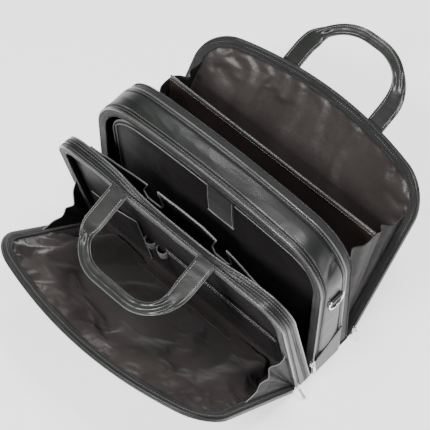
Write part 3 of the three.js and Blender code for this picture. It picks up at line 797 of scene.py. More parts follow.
def padded_wall():
    """The padded wall behind the laptop: a crowned pad that is pulled in along its stitched rim."""
    x, z, rim = arch_grid(MAIN_ARCH, 3.2, 90, 64)
    pull = step(rim, 0, 16)
    puff = 2.2 * pull * (0.75 + 0.5 * value_noise(x / 60, z / 50, 21))
    soft = 0.8 * creases(x / 40, z / 34, 22) * pull
    near = on_plane(wall_front)(x, z, 1.6 - puff - soft)
    far = on_plane(wall_front)(x, z, 6.4)
    wall = sheet_between("laptop_wall_pad", near, far, DARK_CLOTH)
    place(wall, "main_body", "laptop_back_wall")


def sleeve_front(z):
    return -20 - 0.055 * z


def sleeve_top(x):
    return arch_top(MAIN_ARCH, 15.0, x) - 21.0


def laptop_sleeve():
    """The padded sleeve that a laptop slides behind, bound round its edge and stitched inside that."""
    half, foot = HALF_WIDTH - 15.0, 8.0
    surface = on_plane(sleeve_front)
    u, v = np.linspace(-1, 1, 110)[:, None], np.linspace(0, 1, 70)[None, :]
    x = half * np.sin(u * math.pi / 2) + 0 * v
    z = foot + (sleeve_top(x) - foot) * v
    rim = np.minimum(half - np.abs(x), (sleeve_top(x) - z) * 0.9)
    puff = 1.8 * step(rim, 7, 22) + 1.6 * creases(x / 52, z / 46, 31) * step(rim, 8, 34)
    pad = sheet_between("laptop_sleeve_pad", surface(x, z, 0.4 - puff), surface(x, z, 2.6), DARK_CLOTH)
    place(pad, "main_body", "laptop_sleeve")
    for name, inset, radius in (("binding", 0.0, 1.5), ("inner_cord", 8.0, 0.8)):
        reach = half - inset
        across = reach * np.sin(np.linspace(-1, 1, 160) * math.pi / 2)
        top = sleeve_top(across) - inset
        x = np.concatenate([np.full(40, -reach), across, np.full(40, reach)])
        z = np.concatenate([np.linspace(foot, top[0], 40), top, np.linspace(top[-1], foot, 40)])
        path = resample(surface(x, z, 1.4 if inset == 0 else -0.4), 5)
        place(tube(f"laptop_sleeve_{name}", path, radius, BINDING), "main_body")
        if inset:
            stitches("laptop_sleeve_stitches", "main_body", path - [0, 0.7, 0], (0, -1, 0))


def laptop_strap():
    """The strap that comes from the wall over the sleeve's top and fastens on its front."""
    left, right, end, corner = -6.0, 44.0, 208.0, 5.0
    crest = sleeve_top(right) + corner
    low, high = sleeve_front(end) - 2.6, sleeve_front(crest) - 2.4
    turn = np.linspace(math.pi, math.pi / 2, 8)
    bend = np.stack([high + corner + corner * np.cos(turn), crest - corner + corner * np.sin(turn)], 1)
    profile = np.concatenate([[[low, end]], [[(low + high) / 2 - 1.4, (end + crest) / 2]], bend,
                              [[wall_front(crest) - 1, crest - 1.5]]])
    y, z = evenly(profile, 60).T
    x = np.linspace(left, right, 24)[:, None]
    sag = 0.8 * np.sin(math.pi * (x - left) / (right - left))
    grid = stacked(x, y[None] - sag, z[None])
    place(sheet_mesh("laptop_strap_web", grid, 1.6, TAPE), "main_body", "laptop_strap")
    for side, column in (("left", 1), ("right", -2)):
        line = grid[column, :40] - [0, 0.8, 0]
        stitches(f"laptop_strap_stitches_{side}", "main_body", line, (0, -1, 0))
    hem = np.stack([np.linspace(left, right, 30), np.full(30, low - 0.6), np.full(30, end + 1.2)], 1)
    place(tube("laptop_strap_hem", hem, 1.5, BINDING), "main_body")


def base_leather():
    """The base, turned up at both ends as a flap over the foot of the band, with a slanted top edge."""
    lift, corner = 3.1, 5.0
    reach = HALF_WIDTH + lift + 0.6
    front_y, deep = -43, 54.4
    front_top, slant = 48, 32
    v = np.linspace(0, 1, 26)[None, :]
    y = front_y + deep * v
    top = front_top + slant * v
    angle = np.linspace(-math.pi / 2, 0, 9)
    foot_x = np.concatenate([np.linspace(0, reach - corner, 60), reach - corner + corner * np.cos(angle[1:])])
    foot_z = np.concatenate([np.zeros(60), corner + corner * np.sin(angle[1:])]) + 0.0
    rise = np.linspace(0, 1, 24)[1:, None]
    half_x = np.concatenate([np.repeat(foot_x[:, None], 26, 1), np.full((23, 26), reach)])
    half_z = np.concatenate([np.repeat(foot_z[:, None], 26, 1), corner + rise * (top - corner)])
    x = np.concatenate([-half_x[::-1], half_x[1:]])
    z = np.concatenate([half_z[::-1], half_z[1:]])
    sag = 0.6 * (value_noise(x / 30, y / 20, 41) - 0.5) * (z > corner)
    x = x + np.sign(x) * sag
    grid = stacked(x, y, z)
    base = sheet_mesh("main_base_leather", grid, -1.5, HIDE)
    place(base, "main_body", "main_base")
    for side, sign in SIDES.items():
        edge_y = front_y + deep * np.linspace(0.03, 0.97, 30)
        edge_z = front_top + slant * np.linspace(0.03, 0.97, 30)
        for row, drop in (("upper", 2.6), ("lower", 5.4)):
            line = np.stack([np.full(30, sign * (reach + 0.4)), edge_y, edge_z - drop], 1)
            stitches(f"base_stitches_{row}_{side}", "main_body", line, (sign, 0, 0), 3.8)
        # The edge welt is in the piping leather, whose light colour paints a highlight along the flap's top
        # edge.
        welt = np.stack([np.full(30, sign * (reach - 0.2)), edge_y, edge_z + 0.3], 1)
        place(tube(f"base_flap_edge_{side}", welt, 0.9, EDGE_HIDE_PAINTED_HIGHLIGHT), "main_body")


# Each fold joins two bodies, between two places where its cloth starts and ends its bend.
FOLDS = {
    "laptop": ("front_section", "main_body", (0, -50, 0), (0, -44, 0)),
    "front": ("front_section", "front_panel", (0, -77, 3), (0, -86, 8)),
    "divider": ("main_body", "file_divider", (0, 31, 5), (0, 35, 9)),
    "rear": ("file_divider", "rear_panel", (0, 37, 5), (0, 42, 7)),
}
FLOORS = (
    {"name": "laptop_floor_cloth", "fold": "laptop",
     "profile": [(-66, 3.4), (-50, 3.6), (-43, 5.9), (9, 6.2)],
     "half": 211.0, "thickness": 0.6, "cloth": DARK_CLOTH, "wave": 0.8, "seed": 51,
     "flat": (0.422, 0.076), "rests_on": "base_board"},
    {"name": "front_floor_cloth", "fold": "front",
     "profile": [(-66, 4.4), (-72, 3.4), (-79, 3.8), (-86.4, 8.6), (-91, 12.4)],
     "half": 211.0, "thickness": -0.6, "cloth": CLOTH, "wave": 1.4, "seed": 52,
     "flat": (0.422, 0.028), "rests_on": "section_base"},
    {"name": "file_floor_inner", "fold": "divider",
     "profile": [(13, 6.5), (16, 3.4), (30, 3.6), (34.5, 10.5)],
     "half": 209.0, "thickness": 0.6, "cloth": CLOTH, "wave": 1.0, "seed": 53,
     "flat": (0.418, 0.026), "rests_on": "rear_base"},
    {"name": "file_floor_outer", "fold": "rear",
     "profile": [(35.2, 10.5), (37.5, 4.4), (42, 7.2), (46, 13)],
     "half": 211.0, "thickness": 0.6, "cloth": CLOTH, "wave": 1.0, "seed": 54,
     "flat": (0.422, 0.022), "rests_on": "rear_base"},
)
HINGE_LEATHERS = (
    ("laptop", [(-48.5, 1.1), (-45.5, 0.9), (-41.5, 1.1)], 0.8),
    ("front", [(-76, 0.9), (-80, 0.9), (-86, 1.9), (-93.5, 6.0)], -1.0),
    ("rear", [(36, 0.9), (40, 0.9), (45, 2.6), (50, 8.4)], 1.0),
)


def floors_and_hinges():
    """Cloth floors inside the compartments, and the leather that joins the feet of the parts outside."""
    for row in FLOORS:
        floor = strip_across(row["name"], row["profile"], row["half"], row["thickness"], row["cloth"],
                             row["wave"], row["seed"])
        place(floor, FOLDS[row["fold"]])
    for fold, profile, thickness in HINGE_LEATHERS:
        place(strip_across(f"{fold}_hinge_leather", profile, 214.0, thickness, HIDE), FOLDS[fold])


# ---------------------------------------------------------------- organiser section
def section_relief(s, t, x, z):
    seam = step(t, 0, 0.1) * step(1 - t, 0, 0.1)
    return 0.4 * seam * np.sin(math.pi * t) + 0.6 * (value_noise(s * 30, t * 1.6, 61) - 0.5) * seam


SECTION_FRONT_RIM = soft_rim(section_front, 0.0, 4.0, 10, 120)
SECTION_REAR_RIM = soft_rim(section_rear, -6.5, 8.0, 20, 110)


def section_band():
    front, rear = SECTION_FRONT_RIM, SECTION_REAR_RIM
    outer = band_surface(SECTION_ARCH, front, rear, section_relief, along=420, across=20)
    place(sheet_mesh("section_band_leather", outer, 1.6, HIDE), "front_section", "section_band")
    back = soft_rim(lambda z: organiser_front(z) - 0.4, -1.5, 5.0, 20, 110)
    inner = band_surface(SECTION_ARCH, front, back, lambda s, t, x, z: 0.5 * value_noise(s * 50, t * 2, 62),
                         inset=3.4, across=8)
    lining = sheet_mesh("section_band_lining", inner, -0.6, CLOTH)
    place(lining, "front_section", "section_lining")
    piping("section_front_piping", "front_section", front, SECTION_ARCH, -1.2)
    piping("section_rear_piping", "front_section", rear, SECTION_ARCH, 1.4)
    band_rows("section_band_front", "front_section", SECTION_ARCH, front,
              [("stitch", 3.2, 0.9), ("cord", 5.4, 0.4)])
    band_rows("section_band_rear", "front_section", SECTION_ARCH, rear,
              [("stitch", -3.0, 0.9), ("cord", -5.2, 0.4), ("stitch", -7.2, 0.9), ("cord", -9.2, 0.6)])
    zip_half("front_zip_section", "front_section", front, SECTION_ARCH, -1.2, -1, "front_zip_tape_section",
             seed=4)
    zip_half("laptop_zip_front", "front_section", rear, SECTION_ARCH, 1.2, 1, "laptop_zip_tape_front", seed=5)


def organiser_wall():
    x, z, rim = arch_grid(SECTION_ARCH, 3.4, 90, 60)
    pull = step(rim, 0, 12)
    rim_side = soft_rim(organiser_front, -1.5, 6.0, 20, 110)
    near = rim_side(x, z, 0.9 - pull * (1.0 + 1.2 * creases(x / 60, z / 44, 63)))
    far = rim_side(x, z, 1.6 + pull * (0.8 + 0.8 * creases(x / 70, z / 50, 64)))
    wall = sheet_between("organiser_wall_pad", near, far, DARK_CLOTH)
    place(wall, "front_section", "organiser_wall")


def document_front(z):
    return -63.2 - 0.075 * z


POCKET_EDGE = np.array([(-196, 224), (-150, 233), (-110, 240), (-40, 244),
                        (25, 244), (85, 231), (125, 214), (196, 196)])
NOTCH = {"centres": (-72, 60), "mouth": 10, "hollow": 20, "waist": 27, "base": 13, "depth": 40}


def notched_edge():
    """The document pocket's top edge, from left to right, with a thumb notch at each of two places."""
    def top(x):
        return np.interp(x, *POCKET_EDGE.T)

    points = []
    marks = sorted([(x, "corner") for x in POCKET_EDGE[:, 0]] + [(x, "notch") for x in NOTCH["centres"]])
    for x, kind in marks:
        if kind == "corner":
            points.append((x, top(x)))
            continue
        half = [(NOTCH["mouth"], None), (NOTCH["hollow"], NOTCH["waist"]), (NOTCH["base"], NOTCH["depth"])]
        for sign, side in ((-1, half), (1, half[::-1])):
            for across, down in side:
                px = x + sign * across
                points.append((px, top(px) if down is None else top(x) - down))
    return np.array(points, float)


def notched_pocket():
    """The document pocket, which gapes behind the organiser wall and is bound along its notched edge."""
    def gape(x, z):
        high = np.clip((z - 12) / 220, 0, 1.1)
        return high ** 2 * 2.4 * np.cos(x / 62) + 0.9 * creases(x / 40, z / 50, 65) * high

    surface, top = on_plane(document_front), notched_edge()
    outline = np.concatenate([top, [(196, 12), (-196, 12)]])
    pocket = outlined_sheet("notched_pocket_cloth", outline, 4.0, surface, gape, 0.7, DARK_CLOTH)
    place(pocket, "front_section", "notched_pocket")
    edge = resample(top, 1.6)
    path = surface(*edge.T, gape(*edge.T)) + [0, 0.35, 0]
    place(tube("notched_pocket_binding", path, 1.2, BINDING), "front_section")
    stitches("notched_pocket_stitches", "front_section", path - [0, 1.0, 1.0], (0, -0.6, 0.6), 3.6)


def organiser_pockets():
    """The slip pocket, the pen loops and the zipped pocket on the front of the organiser wall."""
    surface = on_plane(organiser_front)

    def slack(u, v, x, z):
        return -2.2 - 2.2 * v ** 2 * np.sin(math.pi * u) - 0.7 * creases(x / 26, z / 26, 66)

    grid = patch_grid(surface, -190.0, -88.0, 12.0, lambda x: 120 + 0.35 * (x + 190), slack, 50, 40)
    slip = sheet_mesh("slip_pocket_cloth", grid, 0.7, DARK_CLOTH)
    place(slip, "front_section", "slip_pocket")
    for name, line in (("top", grid[:, -1]), ("side", grid[-1])):
        place(tube(f"slip_pocket_binding_{name}", line + [0, -0.2, 0], 1.2, BINDING, up=(0, -1, 0), flat=0.7),
              "front_section")

    def full(u, v, x, z):
        edge = np.minimum(np.minimum(u, 1 - u) * 215, np.minimum(v, 1 - v) * 138)
        return -2.4 - 1.5 * step(edge, 1, 16) - 1.2 * creases(x / 44, z / 30, 67) * step(edge, 3, 20)

    left, right = -30.0, 185.0
    grid = patch_grid(surface, left, right, 12.0, lambda x: 150 + 0 * x, full, 80, 50)
    zipped = sheet_mesh("zip_pocket_cloth", grid, 0.8, DARK_CLOTH)
    place(zipped, "front_section", "organiser_zip_pocket")
    tape = patch_grid(surface, left, right, 134.0, lambda x: 148 + 0 * x,
                      lambda u, v, x, z: -4.0 + 0 * u * v, 60, 6)
    place(sheet_mesh("zip_pocket_tape", tape, 0.8, TAPE), "front_section")
    x = np.linspace(left + 3, right - 3, 80)
    for name, z, size, across, pitch in (("coil", 141.0, (3.2, 1.2, 1.2), True, 2.0),
                                         ("stitches_low", 135.5, STITCH, False, 4.0),
                                         ("stitches_high", 146.5, STITCH, False, 4.0)):
        material = TEETH if name == "coil" else THREAD
        place(beads(f"zip_pocket_{name}", surface(x, z, -4.6), (0, -1, 0.2), pitch, size, material, across),
              "front_section")

    for k, centre in enumerate((-70.0, -46.0)):
        angle = np.linspace(math.pi, 2 * math.pi, 22)[:, None]
        z = np.linspace(96, 116, 8)[None, :]
        x = centre + 9.6 * np.cos(angle) + 0 * z
        grid = surface(x, z, -0.6 + 9.6 * np.sin(angle) * (1 + 0.04 * np.sin(z)))
        loop = sheet_mesh(f"pen_loop_elastic_{k + 1}", grid, 1.0, BINDING)
        place(loop, "front_section", f"pen_loop_{k + 1}")


def section_base():
    """The leather under the organiser section."""
    profile = [(-78.6, 1.6), (-77.5, 0.3), (-62, 0.2), (-48.5, 0.3), (-47.2, 1.6)]
    strip = strip_across("section_base_leather", profile, HALF_WIDTH, -1.6, HIDE)
    place(strip, "front_section", "section_base")


# ---------------------------------------------------------------- cloth that is cut too large
def buckled(x, z, rise, held, growth, frames=22):
    """Runs a cloth simulation of a flat sheet that is cut too large and sewn down where held is true.

    rise is the small unevenness that it starts from.
    """
    grid = stacked(x, z, rise)
    index = np.arange(x.size).reshape(x.shape)
    faces = np.stack([index[:-1, :-1], index[1:, :-1], index[1:, 1:], index[:-1, 1:]], -1).reshape(-1, 4)
    sheet = make("buckling_sheet", grid, faces.tolist(), CLOTH)
    sewn = sheet.vertex_groups.new(name="sewn")
    sewn.add([int(i) for i in np.flatnonzero(held)], 1.0, "REPLACE")
    cloth = sheet.modifiers.new("cloth", "CLOTH")
    settings = cloth.settings
    settings.quality = 6
    settings.mass = 0.2
    settings.tension_stiffness = settings.compression_stiffness = 15
    settings.shear_stiffness = 5
    settings.bending_stiffness = 4
    settings.shrink_min = -growth
    settings.vertex_group_mass = sewn.name
    settings.effector_weights.gravity = 0
    cloth.point_cache.frame_start, cloth.point_cache.frame_end = 1, frames
    for frame in range(1, frames + 1):
        bpy.context.scene.frame_set(frame)
    shape = sheet.evaluated_get(bpy.context.evaluated_depsgraph_get())
    found = np.empty(x.size * 3)
    shape.data.vertices.foreach_get("co", found)
    mesh = sheet.data
    bpy.data.objects.remove(sheet)
    bpy.data.meshes.remove(mesh)
    bpy.context.scene.frame_set(1)
    return found.reshape(*x.shape, 3) / MM


# ---------------------------------------------------------------- panels
def panel_parts(name, panel, body, lining_rise, seed):
    """One panel: its leather outside, its lining, the piping round its rim, its zip tape and stitches."""
    surface, arch, foot = on_panel(panel), panel["arch"], PANEL_FOOT
    x, z, rim = arch_grid(arch, 1.2, 110, 76, foot)
    edge = step(rim, 0, 9)
    swell = 0.6 * value_noise(x / 70, z / 60, seed) + 0.35 * creases(x / 60, z / 60, seed + 1)
    leather_grid = surface(x, z, 4.4 + 2.2 * edge + swell * edge)
    inner_grid = surface(x, z, 3.0 + 1.6 * edge)
    place(sheet_between(f"{name}_cover", leather_grid, inner_grid, HIDE), body, f"{name}_leather")

    x, z, rim = arch_grid(arch, 1.8, 150, 110, foot)
    x, z, rise = np.moveaxis(buckled(x, z, lining_rise(x, z, rim), rim < 15, panel["growth"]), -1, 0)
    lift = panel["lift"]
    rise = np.where(rise > 0, lift * np.tanh(rise / lift), 0.3 * np.tanh(rise / 8))
    lining_grid = surface(x, z, 0.5 - rise)
    lining = sheet_mesh(f"{name}_lining_cloth", lining_grid, 0.6 * panel["out"], CLOTH)
    place(lining, body, f"{name}_lining")

    path, *_ = rim_path(surface, arch, inset=0.1, depth=3.5, foot=foot, count=320)
    place(tube(f"{name}_piping_cord", path, 1.8, HIDE), body, f"{name}_piping")
    path, *_ = rim_path(surface, arch, inset=1.2, depth=1.2, foot=foot, count=320)
    place(tube(f"{name}_rim_roll", path, 2.3, HIDE), body)
    zip_half(f"{name}_zip", body, surface, arch, -1.2, -1, f"{name}_zip_tape", foot, seed=seed)
    path, _, deeper = rim_path(surface, arch, inset=7.5, depth=7.3, foot=foot)
    stitches(f"{name}_cover_stitches", body, path, deeper, 4.2, SEAM_THREAD)


def front_lining_rise(x, z, rim):
    """The front lining starts with a long fold that follows the rim, and loose folds inside it."""
    ridge = 7 * bump(rim, 52 + 14 * value_noise(x / 60, z / 60, 76), 11)
    folds = 4 * creases(x / 74 + z / 260, z / 92, 71) + 2 * creases(x / 30, z / 38, 72)
    return step(rim, 12, 46) * (folds + ridge - 2)


def rear_lining_rise(x, z, rim):
    """The rear lining starts with gathers below its top seam and drapes that run down from them."""
    down = REAR_ARCH["height"] - z
    gathers = np.sin(x / 5.6 + 4 * value_noise(x / 40, down / 60, 73))
    gathers = gathers * np.exp(-np.maximum(down - 22, 0) / 16)
    gathers = gathers * step(down, 13, 22) * step(190 - np.abs(x), 0, 60)
    drape = creases(x / 44 + 0.35 * value_noise(x / 90, z / 70, 75), z / 230, 74)
    return step(rim, 12, 40) * (4 * drape - 1) + 0.9 * gathers


# ---------------------------------------------------------------- file divider
def divider():
    """A board covered in thin hide, a little bowed, with a bound top edge."""
    a = math.radians(DIVIDER["lean"])
    half, tall = DIVIDER["width"] / 2, DIVIDER["height"]
    u = np.linspace(-1, 1, 60)[:, None]
    v = np.linspace(0, 1, 40)[None, :]
    x = half * u + 0 * v
    r = tall * v + 0 * u
    bow = 1.0 * np.sin(math.pi * v) * (1 - u ** 2) + 0.3 * (value_noise(x / 50, r / 50, 81) - 0.5)

    def face(offset):
        return lean(DIVIDER, stacked(x, bow + offset, r))

    board = sheet_between("file_divider_board", face(-1.1), face(1.1), BOARD_HIDE)
    place(board, "file_divider", "file_divider")
    upward = np.array([0, math.sin(a), math.cos(a)])
    # The binding is in the piping leather, whose light colour paints a highlight along the divider's top
    # edge.
    binding = tube("file_divider_binding", face(0)[:, -1] + upward * 1.2, 2.1, EDGE_HIDE_PAINTED_HIGHLIGHT, up=upward, flat=0.8)
    place(binding, "file_divider", "divider_binding")
    for side, offset in (("front", -1.6), ("rear", 1.6)):
        line = face(offset)[:, -1] - upward * 4
        stitches(f"file_divider_stitches_{side}", "file_divider", line, (0, math.copysign(1, offset), 0))


# ---------------------------------------------------------------- gussets
GUSSETS = (
    {"name": "front_gusset", "bodies": ("front_section", "front_panel"), "pivot": FRONT_PIVOT,
     "leans": (-10.8, -46.8), "reach": 140.0, "hollow": 26.0, "widths": (209.0, 205.0),
     "folds": [(0.32, 14.0), (0.66, 8.0)], "seed": 101},
    {"name": "inner_rear_gusset", "bodies": ("main_body", "file_divider"), "pivot": REAR_PIVOT,
     "leans": (-6.5, 13.6), "reach": 226.0, "hollow": 8.0, "widths": (199.5, 198.5),
     "folds": [(0.5, 9.0)], "seed": 104},
    {"name": "outer_rear_gusset", "bodies": ("file_divider", "rear_panel"), "pivot": REAR_PIVOT,
     "leans": (13.8, 32.1), "reach": 226.0, "hollow": 12.0, "widths": (198.5, 200.0),
     "folds": [(0.45, 10.0)], "seed": 107},
)


def gusset(side, name, bodies, pivot, leans, reach, hollow, widths, folds, seed):
    """A fan of cloth between two parts, about their hinge line, with folds that run out from the hinge. Its
    cloth is darker than the lining: partly its own matte black cloth, partly painted shade of the recess.
    """
    sign, start = SIDES[side], 6.0
    t = np.linspace(0, 1, 44)[:, None]
    q = np.linspace(0, 1, 56)[None, :]
    lean_angle = np.radians(leans[0] + (leans[1] - leans[0]) * t)
    far = reach - hollow * np.sin(math.pi * t) ** 0.8
    r = start + (far - start) * q
    wide = np.sin(math.pi * t) ** 0.7
    pleat = sum(depth * bump(t, where, 0.13) for where, depth in folds)
    crumple = 4.5 * (creases(t * 2.2 + seed, r / 52, seed) - 0.4)
    crumple = crumple + 1.6 * (creases(t * 5, r / 20, seed + 1) - 0.4)
    inward = (pleat * (r / reach) ** 0.8 + crumple * (r / reach)) * wide
    x = sign * (widths[0] + (widths[1] - widths[0]) * t - np.maximum(inward, -2.0))
    grid = np.stack([x, pivot[0] + r * np.sin(lean_angle), pivot[1] + r * np.cos(lean_angle)], -1)
    cloth = sheet_mesh(f"{name}_{side}_cloth", grid, 0.6 * sign, GUSSET_CLOTH_AND_SHADE)
    weights = np.repeat(step(t, 0, 1), grid.shape[1], 1)
    first, second = bodies
    place(cloth, (first, second, (0, -1, 0), (0, 1, 0)), f"{name}_{side}", weights=[weights, weights])
    binding = BINDING if name == "front_gusset" else TAPE
    edge = tube(f"{name}_{side}_hem", grid[:, -1], 1.0, binding, up=(sign, 0, 0), flat=0.7)
    ring = np.repeat(step(t, 0, 1), 10, 1)
    place(edge, (first, second, (0, -1, 0), (0, 1, 0)), weights=ring)


# ---------------------------------------------------------------- handles
HANDLE_HALF, STRAP_WIDE, GRIP_WIDE = 82.0, 30.0, 17.0


def handle(name, body, pivot, lean_degrees, reach, bend, seed):
    """A strap handle: two flat stitched legs that fold round into a narrow rolled grip."""
    a = math.radians(lean_degrees)
    half = HANDLE_HALF
    turn = np.linspace(math.pi, math.pi / 2, 30)
    left = np.concatenate([
        [[-half, -7.0]],
        np.stack([bend - half + bend * np.cos(turn), reach - bend + bend * np.sin(turn)], 1),
    ])
    outline = np.concatenate([left, (left * [-1, 1])[::-1]])
    s = np.linspace(0, 1, 200)
    kernel = np.ones(9) / 9
    smooth = [np.convolve(np.pad(c, 4, mode="edge"), kernel, "valid") for c in evenly(outline, len(s)).T]
    plane = np.array([[1, 0, 0], [0, math.sin(a), math.cos(a)]])
    normal = np.array([0, math.cos(a), -math.sin(a)])
    path = np.array([0, *pivot]) + np.stack(smooth, 1) @ plane
    tangent = unit(np.gradient(path, axis=0))
    ups = np.broadcast_to(normal, path.shape)
    sides = np.cross(ups, tangent)

    turned = np.where(s < 0.5, step(s, 0.17, 0.26), step(1 - s, 0.12, 0.32))
    gather = bump(s, 0.24, 0.025) + bump(1 - s, 0.24, 0.05)
    wide = (STRAP_WIDE + (GRIP_WIDE - STRAP_WIDE) * turned) / 2
    thick = (3.6 + 5.4 * turned) / 2
    around = 40
    phi = np.linspace(0, 2 * math.pi, around, endpoint=False)
    c, d = np.cos(phi)[None], np.sin(phi)[None]
    square = (0.30 + 0.55 * turned)[:, None]
    flat_x = np.sign(c) * np.abs(c) ** square * wide[:, None]
    flat_y = np.sign(d) * np.abs(d) ** square * thick[:, None]
    ridges = 1 + (0.10 * turned + 0.5 * gather)[:, None] * np.cos(flat_x * 0.75 + 1.2)
    ripple = 0.5 * (value_noise(s[:, None] * 42, phi[None] * 1.4, seed) - 0.5)
    section = np.stack([flat_x, flat_y * ridges + ripple * np.sign(d)], -1)
    place(swept(f"{name}_strap", path, sides, ups, section, STRAP_HIDE), body, name)

    for face in (-1, 1):
        for edge in (-1, 1):
            offset = sides * (edge * (wide * 0.80 - 0.4))[:, None] + ups * (face * (thick + 0.25))[:, None]
            for part, keep in (("left", (s > 0.03) & (s < 0.22)), ("right", (s > 0.78) & (s < 0.97))):
                row = "front" if face < 0 else "rear"
                rim = "inner" if edge < 0 else "outer"
                line = (path + offset)[keep]
                stitches(f"{name}_stitches_{part}_{row}_{rim}", body, line, normal * face, 3.6)
    seam_keep = (s > 0.2) & (s < 0.8)
    seam = (path + sides * (-wide * 0.45)[:, None] + ups * (-thick * 0.92)[:, None])[seam_keep]
    stitches(f"{name}_grip_stitches", body, seam, -normal, 3.6)
    # Edge cords in the piping leather, whose light colour paints a highlight line along both edges of the
    # strap.
    for edge in (-1, 1):
        line = path + sides * (edge * wide * 0.985)[:, None]
        place(tube(f"{name}_edge_{'inner' if edge < 0 else 'outer'}", line, 0.85, EDGE_HIDE_PAINTED_HIGHLIGHT), body)


def handle_patches():
    """Two stitched leather patches on the rear panel, which hold the rear handle's legs."""
    surface = on_panel(REAR_PANEL)
    for side, sign in SIDES.items():
        middle = sign * HANDLE_HALF
        half = STRAP_WIDE / 2

        def depth(u, v, x, z):
            edge = np.minimum(np.minimum(u, 1 - u) * 30, np.minimum(v, 1 - v) * 46)
            return 10.6 - 0.9 * np.exp(-edge / 1.5)

        left, right = middle - half, middle + half
        grid = patch_grid(surface, left, right, 239.0, lambda x: 285.0 + 0 * x, depth, 24, 34)
        patch = sheet_mesh(f"handle_patch_{side}", grid, -2.4, STRAP_HIDE)
        place(patch, "rear_panel", f"rear_handle_patch_{side}")
        inset = 3.0
        x = middle + np.array([-1, 1, 1, -1, -1]) * (half - inset)
        z = np.array([242, 242, 282, 282, 242.0])
        line = resample(surface(x, z, 10.8), 2)
        outward = unit(surface(middle, 260, 12.0) - surface(middle, 260, 10.0))
        stitches(f"handle_patch_stitches_{side}", "rear_panel", line, outward, 3.6)


# ---------------------------------------------------------------- metal parts
RING_BAR, RING_Y = 203.0, -15.0


def d_ring(side, sign):
    """A D-ring of round wire, hanging in the eye of a stitched leather tab."""
    radius, half, drop = 1.75, 14.3, 25.0
    centre_x = sign * (HALF_WIDTH + 0.4 + 4.2)
    arc = np.linspace(0, -math.pi, 40)
    bottom = RING_BAR + 16 - drop
    corner = 3.0
    turn = np.linspace(math.pi, math.pi / 2, 8)
    left = np.stack([-half + corner + corner * np.cos(turn), RING_BAR - corner + corner * np.sin(turn)], 1)
    right = (left * [-1, 1])[::-1]
    round_part = np.stack([half * np.cos(arc), bottom + half * np.sin(arc)], 1)
    bar = np.stack([np.linspace(left[-1, 0], right[0, 0], 12), np.full(12, RING_BAR)], 1)[1:-1]
    outline = np.concatenate([left, bar, right, round_part[1:-1]])
    path = np.stack([np.full(len(outline), centre_x), RING_Y + outline[:, 0], outline[:, 1]], 1)
    place(tube(f"d_ring_wire_{side}", path, radius, NICKEL, around=16, closed=True), f"d_ring_{side}",
          f"d_ring_{side}")

    wrap = np.linspace(math.pi, -math.pi / 2, 18)
    back, bar, loop = 1.2, 4.2, 3.1
    profile = np.concatenate([
        [[back, 174.0]], [[back, RING_BAR - 4]],
        np.stack([bar + loop * np.cos(wrap), RING_BAR + loop * np.sin(wrap)], 1),
        [[back + 1.9, 197.0]], [[back + 1.8, 184.5]],
    ])
    px, pz = evenly(profile, 70).T
    y = RING_Y + np.linspace(-10.8, 10.8, 16)[None, :]
    grid = stacked(sign * (HALF_WIDTH + 0.4 + px)[:, None], y, pz[:, None])
    tab = sheet_mesh(f"d_ring_tab_leather_{side}", grid, 1.4 * sign, STRAP_HIDE)
    place(tab, "main_body", f"d_ring_tab_{side}")
    for row, reach, low, high, out in (("leaf", 8.2, 186.5, 198.0, 4.6), ("plate", 8.2, 175.5, 182.0, 2.4)):
        outline = np.array([(-1, 0), (1, 0), (1, 1), (-1, 1), (-1, 0)], float)
        line = np.stack([np.full(5, sign * (HALF_WIDTH + out)), RING_Y + outline[:, 0] * reach,
                         low + outline[:, 1] * (high - low)], 1)
        place(beads(f"d_ring_tab_stitches_{row}_{side}", resample(line, 1.6), (sign, 0, 0), 2.9,
                    (2.1, 0.8, 0.7), THREAD), "main_body")


def pillow(name, centre, axes, size, power):
    """A soft-cornered metal block: a superellipsoid with its three sizes along its own axes."""
    around, rings = 24, 14
    u = np.linspace(-math.pi / 2, math.pi / 2, rings)[:, None]
    v = np.linspace(0, 2 * math.pi, around, endpoint=False)[None, :]

    def soft(value):
        return np.sign(value) * np.abs(value) ** power

    shape = stacked(soft(np.cos(u)) * soft(np.cos(v)), soft(np.cos(u)) * soft(np.sin(v)), soft(np.sin(u)))
    shape = shape * np.array(size) / 2
    points = np.asarray(centre, float) + shape @ np.asarray(axes, float)
    i, j = np.meshgrid(np.arange(rings - 1), np.arange(around), indexing="ij")
    k = (j + 1) % around
    faces = np.stack([i * around + j, i * around + k, (i + 1) * around + k, (i + 1) * around + j], -1)
    return make(name, points, faces.reshape(-1, 4).tolist(), NICKEL)


ZIPS = {
    "laptop_zip": {"y": -52.5, "z": 52.0, "swing": 6.0, "sides": ("right",)},
    "front_zip": {"y": -84.0, "z": 22.0, "swing": 38.0, "sides": ("left", "right")},
    "rear_zip": {"y": 45.0, "z": 26.0, "swing": 20.0, "sides": ("right",)},
}


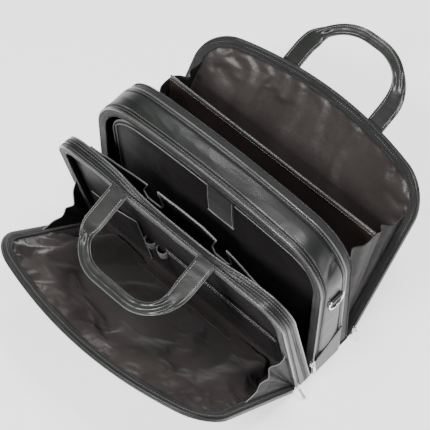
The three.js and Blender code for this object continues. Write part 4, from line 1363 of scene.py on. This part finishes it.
def slider(zip_name, side, y, z, swing):
    """A zip slider with its bridge, and a pull tag with an eye at its top and a raised rim."""
    sign = SIDES[side]
    x = HALF_WIDTH + 3.0
    body, pull_body = f"{zip_name}_slider_{side}", f"{zip_name}_pull_{side}"
    axes = np.array([[sign, 0, 0], [0, 1, 0], [0, 0, 1]], float)
    for layer, depth in (("lower", 0.7), ("upper", 3.1)):
        plate = pillow(f"{body}_{layer}_plate", (sign * (x + depth), y, z), axes, (1.5, 8.4, 12.0), 0.42)
        place(plate, body, *([body] if layer == "lower" else []))
    place(pillow(f"{body}_post", (sign * (x + 1.9), y, z + 3), axes, (2.6, 2.4, 4.0), 0.5), body)
    arch = np.linspace(0, math.pi, 16)
    bridge = np.stack([sign * (x + 3.4 + 1.5 * np.sin(arch)), np.full(16, y), z + 4.0 * np.cos(arch)], 1)
    place(tube(f"{body}_bridge", bridge, 0.8, NICKEL), body)

    a = math.radians(swing)
    top = np.array([sign * (x + 4.9), y, z])
    down = np.array([sign * math.sin(a), 0, -math.cos(a)])
    out = np.array([sign * math.cos(a), 0, math.sin(a)])
    along = np.array([0, 1.0, 0])
    v = np.linspace(0, 1, 34)[:, None]
    u = np.linspace(-1, 1, 14)[None, :]
    length = 21.0
    width = 2.1 + 1.0 * step(v, 0.25, 0.95)
    ends = np.sqrt(np.clip(1 - ((v - 0.5) * 2) ** 12, 0.02, 1))
    crown = 0.55 + 0.28 * step(np.abs(u), 0.55, 0.8) - 0.3 * step(np.abs(u), 0.86, 1)
    place_at = (top + down * (2.0 + v[..., None] * (length - 2)) + along * (u * width * ends)[..., None])
    tag = sheet_between(f"{pull_body}_tag", place_at + out * (crown + 0 * v)[..., None],
                        place_at - out * (0.5 * crown + 0.2 + 0 * v)[..., None], NICKEL)
    place(tag, pull_body, pull_body)
    ring = np.linspace(0, 2 * math.pi, 28, endpoint=False)
    eye = top + down * (2.2 + 2.4 * np.sin(ring))[:, None] + along * (2.2 * np.cos(ring))[:, None]
    place(tube(f"{pull_body}_eye", eye, 0.7, NICKEL, closed=True), pull_body)


# ---------------------------------------------------------------- the whole bag
main_band()
padded_wall()
laptop_sleeve()
laptop_strap()
base_leather()
floors_and_hinges()
section_band()
organiser_wall()
notched_pocket()
organiser_pockets()
section_base()
panel_parts("front_panel", FRONT_PANEL, "front_panel", front_lining_rise, 91)
panel_parts("rear_panel", REAR_PANEL, "rear_panel", rear_lining_rise, 95)
divider()
for side in SIDES:
    for row in GUSSETS:
        gusset(side, **row)
handle("front_handle", "front_handle", (-76 - 0.19 * 285 - 5.6, 285.0), -112.0, 106.0, 54.0, 111)
rear_bow = REAR_PANEL["bow"] * (1 - (HANDLE_HALF / HALF_WIDTH) ** 2) * 291 / 300
rear_pivot = lean(REAR_PANEL, np.array([0, rear_bow + 13.6, 291.0]))
handle("rear_handle", "rear_handle", rear_pivot[1:], REAR_PANEL["lean"] + 36.0, 100.0, 72.0, 112)
handle_patches()
for side, sign in SIDES.items():
    d_ring(side, sign)
for zip_name, row in ZIPS.items():
    for side in row["sides"]:
        slider(zip_name, side, row["y"], row["z"], row["swing"])

# Four solids are carried over as they are: the base board, the two foams, and the thin leather under
# the file compartment.
slot_of_node = {row["node"]: row["material_slot"] for row in frame["record"]["subparts"]}
for node, piece in frame["nodes"].items():
    piece.data.materials.clear()
    piece.data.materials.append(SLOTS[slot_of_node[node]][0])
